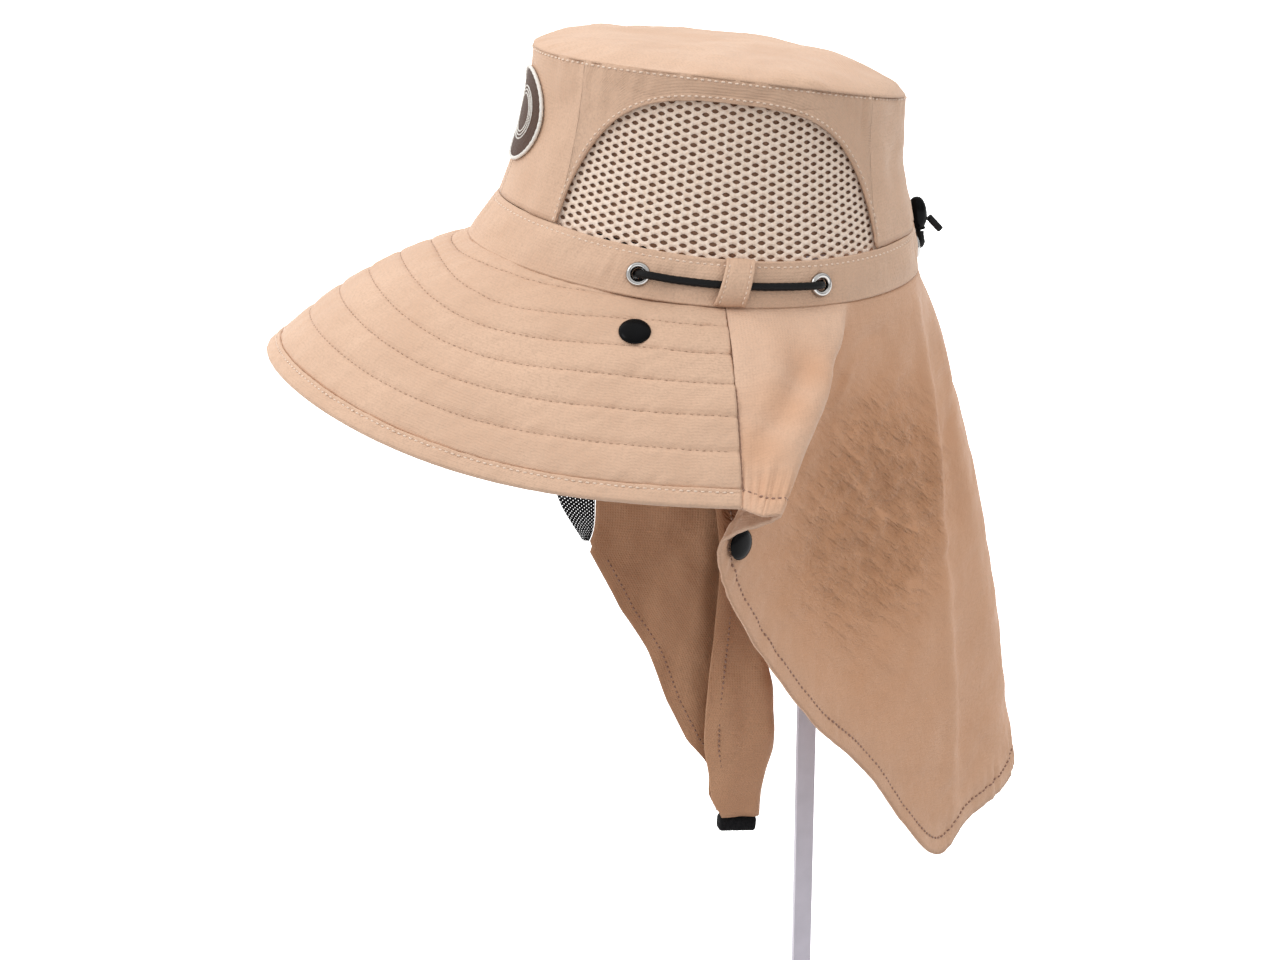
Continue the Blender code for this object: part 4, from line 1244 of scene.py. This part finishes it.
def build_band():
    angles = [2 * math.pi * i / ROUND_STEPS for i in range(ROUND_STEPS)]

    def relief(angle, rise, spot):
        signed = signed_angle(angle)
        pull = 0.0
        for _, eyelet, _ in EYELETS:
            pull += bell((signed - eyelet) * FOOT_HALF_LENGTH, 0.016)
        fold = ripple((angle * 34, rise * 1.2, 0), 1.0, 7.0)
        free = math.sin(math.pi * max(0.0, rise))
        lift = 0.0008 * fold * (0.35 + 1.3 * pull) * free
        lift += 0.0012 * ripple(spot, 0.014, 4.0) * free
        lift -= 0.0003 * bell((BAND_TO - rise) * BAND_HEIGHT - BAND_STITCH, 0.0006)
        return lift + 0.0004 * free

    rises = spread(BAND_FROM, BAND_TO, 26)
    obj = cloth("band_cloth", band, angles, rises, BAND_WALL, NYLON, "nylon", ["hat_band"], True, relief)
    drills = []
    for name, angle, level in EYELETS:
        reach = 4 * BAND_WALL
        radius = EYELET_HOLE / 2
        profile = ((0, -reach), (radius, -reach), (radius, reach), (0, reach))
        middle = band(angle, level)
        drills.append(turned("hole_" + name, profile, 24, middle, band_out(angle), NYLON, "nylon"))
    cut_holes(obj, drills)

    thread = Seams()
    level = BAND_TO - BAND_STITCH / BAND_HEIGHT
    thread.sew(band, all_round(level), BAND_WALL / 2 + 0.0001, relief=relief)
    thread.add("band_stitches", THREAD, "nylon")


def build_eyelets():
    low = BAND_WALL / 2 + GAP
    inner, outer = EYELET_HOLE / 2, EYELET / 2
    middle, half = (inner + outer) / 2, (outer - inner) / 2
    profile = [(inner, low)]
    for k in range(13):
        a = math.pi * (1 - k / 12)
        height = EYELET_LIP + (EYELET_DEEP - EYELET_LIP) * math.sin(a)
        profile.append((middle + half * math.cos(a), low + height))
    profile.append((outer, low))
    for name, angle, level in EYELETS:
        tag = name.replace("eyelet", "ring")
        place = band(angle, level)
        turned(tag, profile, 40, place, band_out(angle), CHROME, "chrome", [name], True)


def cord_point(angle, off, level=CORD_LEVEL):
    return band(angle, level) + band_out(angle) * off


def through_eyelet(angle, toward, level=CORD_LEVEL):
    """Points from inside the band, through the eyelet, to its outer face towards one side."""
    inside = -(BAND_WALL / 2 + CORD / 2 + 2 * GAP)
    outside = BAND_WALL / 2 + EYELET_DEEP + CORD / 2 + 3 * GAP
    turn = toward * EYELET / FOOT_HALF_LENGTH
    path = (
        (-0.67, inside),
        (-0.09, inside * 0.8),
        (0.0, 0.0),
        (0.05, outside * 0.72),
        (0.27, outside * 0.97),
        (0.65, outside),
    )
    return [cord_point(angle + share * turn, off, level) for share, off in path]


def lock_foot():
    """The middle of the lock's lower end."""
    off = BAND_WALL / 2 + LOCK_WIDTH / 2 + 3 * GAP
    level = (LOCK_LOW - FOOT_RISE) / BAND_HEIGHT
    return cord_point(math.pi, off, level)


def cord_route():
    """The cord's middle line, from under the lock round by the left and back by the right."""
    inside = -(BAND_WALL / 2 + CORD / 2 + 2 * GAP)
    outside = BAND_WALL / 2 + CORD / 2 + 2 * GAP
    end = lock_foot() + Vector((0.6 * CORD, 0, -3 * GAP))
    out_back = through_eyelet(EYELET_BACK, 1, BACK_LEVEL)[:5]
    half = [end, end - Vector((0, 0, CORD * 0.4))] + out_back[::-1]
    half += [cord_point(a, inside) for a in spread(EYELET_BACK - 0.15, EYELET_REAR + 0.15, 7)]
    half += through_eyelet(EYELET_REAR, -1)
    half += [cord_point(a, outside) for a in spread(EYELET_REAR - 0.15, EYELET_FRONT + 0.15, 5)]
    half += through_eyelet(EYELET_FRONT, 1)[::-1]
    half += [cord_point(a, inside) for a in spread(EYELET_FRONT - 0.15, 0.07, 8)]
    return half + [Vector((-p.x, p.y, p.z)) for p in reversed(half)]


def build_cord():
    tube("band_cord", cord_route(), CORD, CORD_BLACK, "cord", ["drawcord"], braid=0.00012)
    lean = (head(math.pi) - foot(math.pi)).normalized()
    start = lock_foot() + band_out(math.pi) * (LOCK_WIDTH / 2 + 0.25 * CORD) + lean * LOCK_LENGTH * 0.3
    reach = Vector((0, 0.75, -0.66)) * TAIL
    tail = [start, start + reach * 0.5, start + reach]
    tube("cord_end", tail, CORD, CORD_BLACK, "cord", ["cord_tail"], braid=0.00012)
    profile = [(0, 0), (LOCK_WIDTH * 0.36, 0)]
    for i in range(1, 24):
        a = math.pi * i / 24
        wide = LOCK_WIDTH / 2 * math.sin(a) ** 0.8
        least = LOCK_WIDTH * 0.30 * (1 - i / 24) + 0.0005
        profile.append((max(wide, least), LOCK_LENGTH * (1 - math.cos(a)) / 2))
    profile.append((0, LOCK_LENGTH))
    turned("lock_egg", profile, 36, lock_foot(), lean, SNAP_BLACK, "snap", ["cord_lock"])


def build_loops():
    stand_off = CORD + 3 * GAP
    low = BAND_WALL / 2 + LOOP_WALL / 2 + GAP
    for name, side in (("belt_loop_left", 1), ("belt_loop_right", -1)):
        middle = LOOP_MIDDLE * side
        half_turn = LOOP_WIDTH / 2 / FOOT_HALF_LENGTH

        def strap(share, rise, middle=middle, half_turn=half_turn):
            angle = middle + half_turn * share
            lift = low + stand_off * math.sin(math.pi * min(max(rise, 0.0), 1.0)) ** 0.6
            return band(angle, rise) + band_out(middle) * lift

        def relief(share, rise, spot):
            groove = -0.0003 * bell((abs(share) - LOOP_STITCH) * LOOP_WIDTH / 2, 0.0006)
            return groove + 0.0003 * ripple(spot, 0.006, 1.0)

        def wall(share, rise):
            if abs(share) > 0.985:
                return LOOP_WALL * 1.15 * 0.6
            return LOOP_WALL * (1.15 if abs(share) > LOOP_STITCH else 1.0)

        tag = name.replace("belt", "cord")
        grid = (spread(-1, 1, 33), spread(0, 1, 41))
        cloth(tag, strap, *grid, wall, NYLON, "nylon", [name], relief=relief)
        thread = Seams()
        dashes = {"pitch": 0.0024, "length": 0.0017, "width": 0.0003}
        for edge in (-LOOP_STITCH, LOOP_STITCH):
            line = [(edge, rise) for rise in spread(0.04, 0.96, 41)]
            thread.sew(strap, line, LOOP_WALL / 2, band_out(middle), **dashes)
        thread.add("loop_stitches_" + ("left" if side > 0 else "right"), THREAD, "nylon")


# Brim


def quilt_row(k, angle):
    """Distance of a stitch row in from the brim's edge."""
    if k > QUILT_ROWS:
        turn = math.pi / 2 * min(1.0, abs(angle) / QUILT_LAST_END)
        return brim_width(angle) - QUILT_LAST * math.cos(turn)
    sway = QUILT_SWAY * math.sin(QUILT_WAVES * min(abs(angle), math.pi / QUILT_WAVES)) ** 2
    return BINDING + QUILT_STEP * k * (1 - sway)


def quilt_relief(angle, inward):
    """Puffed channels between the stitch rows, which pull small puckers."""
    nearest = min(abs(inward - quilt_row(k, angle)) for k in range(QUILT_ROWS + 2))
    along = angle * (FOOT_HALF_LENGTH + brim_width(angle) - inward)
    puff = 0.0005 * min(1.0, nearest / (QUILT_STEP * 0.25)) ** 0.5
    groove = -0.0007 * bell(nearest, 0.0012)
    pucker = 0.00045 * ripple((along / 0.0045, inward / 0.02, 0), 1.0) * bell(nearest, 0.0045)
    wide = 0.0010 * ripple((along / 0.035, inward / 0.03, 0), 1.0, 9.0)
    fine = 0.00035 * ripple((along / 0.010, inward / 0.008, 0), 1.0, 2.0)
    return puff + groove + pucker + wide + fine


def build_brim():
    angles = spread(-BRIM_END, BRIM_END, 380)
    shares = spread(0, 1, 92)
    start = -BAND_WALL / 3

    def quilt(angle, share):
        last = brim_width(angle) - BINDING - GAP
        return brim_out(angle, start + (last - start) * share)

    def relief(angle, share, spot):
        last = brim_width(angle) - BINDING - GAP
        return quilt_relief(angle, brim_width(angle) - start - (last - start) * share)

    cloth("quilted_brim", quilt, angles, shares, BRIM_WALL, NYLON, "nylon", ["brim"], relief=relief)

    def fold(angle, share):
        return brim_in(angle, BINDING * (1 - share))

    def fold_wall(angle, share):
        out = BINDING * (1 - share)
        edge = math.sqrt(max(0.02, 1 - max(0.0, 1 - out / 0.0016) ** 2))
        inner = math.sqrt(max(0.04, 1 - max(0.0, 1 - (BINDING - out) / 0.0008) ** 2))
        return BINDING_WALL * edge * (0.72 + 0.28 * inner)

    def fold_relief(angle, share, spot):
        along = angle * (FOOT_HALF_LENGTH + brim_width(angle))
        lift = 0.0003 * ripple((along / 0.006, share * 2, 0), 1.0, 6.0)
        pucker = 0.0003 * ripple((along / 0.0023, share, 0), 1.0, 1.0)
        lift += pucker * bell((1 - share) * BINDING - 0.0055, 0.002)
        return lift - 0.0003 * bell(share - BINDING_STITCH, 0.07)

    shares = [0, 0.04, 0.08, 0.13, 0.18, 0.22, 0.27, 0.33, 0.42]
    shares += [0.52, 0.62, 0.72, 0.8, 0.86, 0.91, 0.95, 0.98, 1]
    binding = ["brim_binding"]
    cloth("brim_edge", fold, angles, shares, fold_wall, NYLON, "nylon", binding, relief=fold_relief)

    def quilted(angle, inward, spot):
        return quilt_relief(angle, inward)

    turns = spread(-BRIM_END, BRIM_END, 521)
    quilting = Seams()
    for k in range(1, QUILT_ROWS + 2):
        pairs = [(a, quilt_row(k, a)) for a in turns if brim_width(a) - quilt_row(k, a) > 0.0016]
        quilting.sew(brim_in, pairs, BRIM_WALL / 2 + 0.0001, UP, quilted, length=0.0020)
    # Brim stitches in the darker thread that carries the painted shade of their grooves
    quilting.add("brim_stitches", SHADED_BRIM_THREAD, "nylon")
    edging = Seams()
    pairs = [(a, BINDING * (1 - BINDING_STITCH)) for a in turns]
    edging.sew(brim_in, pairs, BINDING_WALL / 2 - 0.0001, UP, length=0.0022, width=0.0004)
    edging.add("binding_stitches", THREAD, "nylon")

    for side, tag in ((1, "left"), (-1, "right")):
        last = brim_width(BRIM_END) - 0.002
        line = [brim_out(BRIM_END * side, 0.002 + (last - 0.002) * k / 24) for k in range(25)]
        shift = outward(BRIM_END * side).cross(UP) * -0.0006 * side
        line = [p + shift + UP * 0.0011 for p in line]
        tube("side_seam_" + tag, line, 0.0010, DARK_THREAD, "nylon", braid=0.0002, sides=8)


# Snaps


def snap_profile(seat):
    radius = SNAP / 2
    profile = [(0, seat), (radius * 0.92, seat), (radius, seat + SNAP_DEEP * 0.22)]
    for k in range(1, 13):
        a = math.pi / 2 * k / 12
        height = SNAP_DEEP * (0.25 + 0.75 * math.sin(a) ** 1.2)
        profile.append((radius * math.cos(a) ** 0.8 * 0.985, seat + height))
    profile[-1] = (0, seat + SNAP_DEEP)
    return profile


def add_cap(name, seat, middle, out):
    cap = name.replace("snap", "cap")
    turned(cap, snap_profile(seat), 48, middle, out, SNAP_BLACK, "snap", [name])


def build_snaps():
    for name, side in (("brim_snap_left", 1), ("brim_snap_right", -1)):
        angle = BRIM_SNAP_ANGLE * side
        spots, ups = follow(brim_out, [(angle, BRIM_SNAP_OUT)], 0.0, UP)
        add_cap(name, BRIM_WALL / 2 + GAP, spots[0], ups[0])
    left = 3 + FLAP_SNAP_PLACE
    for name, place in (("flap_snap_left", left), ("flap_snap_right", FLAP_STEPS - left)):
        middle = flap(place, FLAP_SNAP_DOWN)
        along = flap(place + 0.05, FLAP_SNAP_DOWN) - flap(place - 0.05, FLAP_SNAP_DOWN)
        across = flap(place, FLAP_SNAP_DOWN + 0.02) - flap(place, FLAP_SNAP_DOWN - 0.02)
        out = along.cross(across).normalized()
        out = out if out.x * middle.x > 0 else -out
        add_cap(name, SHELL / 2 + FLAP_SNAP_SEAT, middle, out)


# Neck flap


def flap_spot(spot, mirror):
    """A place of the flap's left side in the hat's frame, or its mirror on the right."""
    place, down = spot
    return flap(FLAP_STEPS - place if mirror else place, down)


def crease_lines():
    """Ends of every crease in the hat's frame, on both sides."""
    lines = []
    for row in FLAP_CREASES:
        for mirror in (False, True):
            start, end = (flap_spot(row[key], mirror) for key in ("from", "to"))
            lines.append((start, end, row["width"], row["height"]))
    return lines


def crease_height(spot, lines):
    total = 0.0
    here = Vector(spot)
    for start, end, width, height in lines:
        run = end - start
        share = (here - start).dot(run) / run.length_squared
        if share < -0.3 or share > 1.3:
            continue
        away = (here - start - run * min(max(share, 0.0), 1.0)).length
        if away < 3 * width:
            fade = math.sin(math.pi * min(max(share, 0.06), 0.94)) ** 0.5
            total += height * bell(away, width) * fade
    return total


def build_flap():
    lines = crease_lines()
    sides = (False, True)
    dents = [flap_spot(FLAP_DENT, mirror) for mirror in sides]
    crinkled = [flap_spot(FLAP_CRINKLE, mirror) for mirror in sides]
    shade_spots = [flap_spot(shade_spot, mirror) for shade_spot in GUSSET_SHADE_SPOTS for mirror in sides]
    lengths = {}

    def column(place):
        key = round(place, 4)
        if key not in lengths:
            lengths[key] = (flap(place, 1.0) - flap(place, 0.0)).length
        return lengths[key]

    def relief(place, down, spot):
        tall = column(place)
        up = (1 - down) * tall
        crest = min(1.0, down * tall / 0.012)
        slant = (spot[0] * 0.5 + spot[1] * 0.5 + spot[2] * 0.9, spot[1] - spot[2] * 0.5, spot[0])
        lift = 0.0015 * ripple(slant, 0.034, 1.0) + 0.0008 * ripple(slant, 0.014, 4.0)
        here = Vector(spot)
        for centre in dents:
            lift -= FLAP_DENT_DEEP * bell((here - centre).length, FLAP_DENT_WIDE)
        x, y, z = spot
        grain = (y * 0.75 - z * 0.66, (y * 0.66 + z * 0.75) * 0.28, x * 0.5)
        for centre in crinkled:
            near = bell((here - centre).length, FLAP_CRINKLE_WIDE)
            lift += near * (0.0015 * ripple(grain, 0.0055, 8.0) + 0.0009 * ripple(grain, 0.0026, 2.0))
        lift += crease_height(spot, lines)
        pull = ripple((place * 9, down * 2, 0), 1.0, 3.0)
        lift += 0.0013 * pull * bell(up - FLAP_HEM, 0.010)
        lift -= 0.0005 * bell(up - FLAP_HEM, 0.0016)
        return lift * crest

    def wall(place, down):
        up = (1 - down) * column(place)
        return SHELL * (0.95 if up < FLAP_HEM else 0.62)

    def painted_shade(place, down, spot):
        fold = min(place, FLAP_STEPS - place)
        back = 0.10 * past(fold, FLAP_BACK, 0.25)
        hem = 0.25 * bell((1 - down) * column(place), 2 * FLAP_HEM)
        high = 0.22 * bell(down, 0.16)
        # Painted shade over the flap's body, less at its back, by its hem and near its top
        flap_shade = past(fold, GUSSET_END, 0.18) * (0.74 - back - hem - high)
        here = Vector(spot)
        # More painted shade over the crinkled patch
        flap_shade += 0.5 * max(bell((here - centre).length, 1.2 * FLAP_CRINKLE_WIDE) for centre in crinkled)
        # Painted shade in spots on the gusset
        if fold <= 3:
            flap_shade += 0.5 * max(bell((here - shade_spot).length, GUSSET_SHADE_WIDE) for shade_spot in shade_spots)
        return max(0.0, min(1.0, flap_shade))

    grid = (spread(FLAP_TUCK, FLAP_STEPS - FLAP_TUCK, 391), spread(0, 1, 97))
    looks = (FLAP_NYLON, "nylon", ["neck_flap"])
    obj = cloth("flap_cloth", flap, *grid, wall, *looks, relief=relief, painted_shade=painted_shade)

    thread = Seams()
    pairs = []
    for place in spread(FLAP_START, FLAP_STEPS - FLAP_START, 601):
        sewn = min(max(place, FLAP_HEM_START), FLAP_STEPS - FLAP_HEM_START)
        pairs.append((sewn, 1 - FLAP_HEM / column(place)))
    thread.sew(flap, pairs, SHELL / 2, relief=relief, width=0.00055)
    thread.add("flap_stitches", DARK_THREAD, "nylon")
    return obj


# Face cover


def build_cover():
    net_depths = spread(0, MESH_END, 61)
    depths = net_depths + spread(MESH_END + 0.01, 1, 50)
    shares = spread(0, COVER_FAR_END, 46)
    shares += spread(COVER_FAR_END, COVER_TURN_END, 15)[1:] + spread(COVER_TURN_END, 1, 40)[1:]

    def sheet(share, down):
        if share >= COVER_FAR_END:
            return cover(share, down)
        first = mesh_share(down) + COVER_FAR_END * 1.3 * GAP / far_layer(down)
        return cover(first + (COVER_FAR_END - first) * share / COVER_FAR_END, down)

    def relief(share, down, spot):
        lift = 0.0022 * ripple((spot[1] * 1.6, spot[2] * 0.5, spot[0]), 0.026, 2.0)
        lift += 0.0009 * ripple((spot[1], spot[2] * 0.6, spot[0]), 0.010, 5.0)
        return lift * min(1.0, down / 0.10)

    def painted_shade(share, down, spot):
        near_layer = past(share, 0.58, 0.02)
        # Painted shade over the near layer's upper part, lighter by its inner edge
        shade = past(COVER_SHADE, down, 0.05) * (1 - 0.6 * bell(1 - share, 0.09))
        # Mottled painted shade of folds on the far layer
        fold_shade = 0.5 + 0.8 * ripple((spot[1] * 1.2 - spot[2] * 0.7, spot[2] * 0.3, spot[0]), 0.024, 3.0)
        far = 0.32 * min(1.0, max(0.0, fold_shade))
        return min(1.0, near_layer * shade + (1 - near_layer) * far)

    wall = COVER_WALL * 0.7
    looks = (COVER_NYLON_SHADED, "nylon", ["face_cover"])
    obj = cloth("cover_cloth", sheet, shares, depths, wall, *looks, relief=relief, painted_shade=painted_shade)

    thread = Seams()
    inner = []
    outer = []
    for down in spread(0.04, 0.985, 220):
        row = cover_row(down)
        turn = FOOT_HALF_WIDTH * (row["far"] - row["near"]) / 2
        near_layer = FOOT_HALF_LENGTH * (row["fold"] - row["inner"]) - turn
        inner.append((1 - (1 - COVER_TURN_END) * COVER_HEM / near_layer, down))
        if down > MESH_END + 0.02:
            outer.append((COVER_FAR_END * COVER_HEM / far_layer(down), down))
    for pairs in (inner, outer):
        for facing in (Vector((1, 0, 0)), Vector((-1, 0, 0))):
            spots, ups = follow(cover, pairs, wall / 2, facing)
            ripples = [relief(u, v, spot - up * wall / 2) for (u, v), spot, up in zip(pairs, spots, ups)]
            spots = [spot + Vector((-lift, 0, 0)) for spot, lift in zip(spots, ripples)]
            thread.row(spots, ups)
    thread.add("cover_stitches", DARK_THREAD, "nylon")

    rows = int(MESH_END * COVER_DROP / FINE_CELL)

    def place(x, y, off):
        down = min(max(y * FINE_CELL / COVER_DROP, 0.0), MESH_END)
        width = mesh_share(down)
        return cover(width * (x + 0.5) / FINE_COLUMNS, down) + Vector((-off, 0, 0))

    size = (FINE_COLUMNS, rows, (FINE_HOLE / FINE_CELL, FINE_HOLE / FINE_CELL), FINE_WALL)
    pierced("cover_net", place, *size, None, BLACK_NET, "black_net", ["face_mesh"], FINE_CELL)
    return obj


def build_tab():
    row = COVER_ROWS[-1]
    across = -FOOT_HALF_WIDTH * (row["far"] + row["near"]) / 2
    along = FOOT_HALF_LENGTH * (row["edge"] + row["fold"]) / 2
    low = -COVER_DROP - GAP
    verts = []
    steps = 40
    around = 28
    for i in range(steps + 1):
        u = 2 * i / steps - 1
        end = math.sqrt(max(0.0, 1 - max(0.0, (abs(u) - 0.82) / 0.18) ** 2))
        for k in range(around):
            a = 2 * math.pi * k / around
            box = (abs(math.cos(a)) ** 4 + abs(math.sin(a)) ** 4) ** -0.25
            x = math.cos(a) * box * TAB_DEEP / 2 * (0.25 + 0.75 * end)
            z = math.sin(a) * box * TAB_HEIGHT / 2 * (0.25 + 0.75 * end)
            fuzz = 1 + 0.04 * ripple((u * 20, math.cos(a) * 3, math.sin(a) * 3), 1.0)
            height = low - TAB_HEIGHT / 2 + z * fuzz
            verts.append(Vector((across + x * fuzz, along + u * TAB_WIDTH / 2, height)))
    return add_piece("cover_tab", verts, loft_faces(steps + 1, around), TAB_BLACK, "tab", ["face_tab"])


# Patch


def badge_rise(share):
    return BADGE_LOW + (BADGE_HIGH - BADGE_LOW) * share


def build_badge():
    off = SHELL / 2 + BADGE_WALL / 2 + 2 * GAP

    def patch(share, rise):
        half = math.sqrt(max(0.02, 1 - (2 * min(max(rise, 0), 1) - 1) ** 2))
        angle = BADGE_HALF_ANGLE * share * half
        return crown(angle, badge_rise(rise)) + outward(angle) * off

    def relief(share, rise, spot):
        return 0.00015 * ripple(spot, 0.0012, 3.0)

    grid = (spread(-1, 1, 41), spread(0, 1, 41))
    cloth("patch", patch, *grid, BADGE_WALL, BADGE, "badge", ["front_badge"], relief=relief)
    edge = []
    for k in range(97):
        a = 2 * math.pi * k / 96
        rise = 0.5 + 0.5 * math.sin(a)
        angle = BADGE_HALF_ANGLE * math.cos(a)
        edge.append(crown(angle, badge_rise(rise)) + outward(angle) * (off + BADGE_WALL * 0.4))
    tube("patch_edge", edge, 0.0018, PALE_THREAD, "badge", braid=0.00015, sides=12)
    ring = Seams()
    dashes = {"pitch": 0.0013, "length": 0.0017, "width": 0.0004}
    for size in (0.42, 0.50, 0.58):
        pairs = []
        for k in range(RING_STEPS + RING_OVERLAP):
            a = 2 * math.pi * k / RING_STEPS
            rise = 0.5 + 0.5 * size * math.sin(a)
            half = math.sqrt(1 - (2 * rise - 1) ** 2)
            pairs.append((size * math.cos(a) / half, rise))
        ring.sew(patch, pairs, BADGE_WALL / 2, Vector((0, -1, 0)), **dashes)
    ring.add("patch_ring", PALE_THREAD, "badge")


def build_stand():
    for name in ("stand_top", "stand_post", "stand_base"):
        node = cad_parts[name]
        node.data.materials.clear()
        node.data.materials.append(STAND_GREY)


add_camera()
build_cord()
build_top()
build_crown()
build_vents()
build_band()
build_eyelets()
build_loops()
build_brim()
build_snaps()
FLAP = build_flap()
COVER = build_cover()
TAB = build_tab()
build_badge()
build_stand()
add_studio()

[[list(corner) for corner in box] for box in (CAD_BOX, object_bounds())]
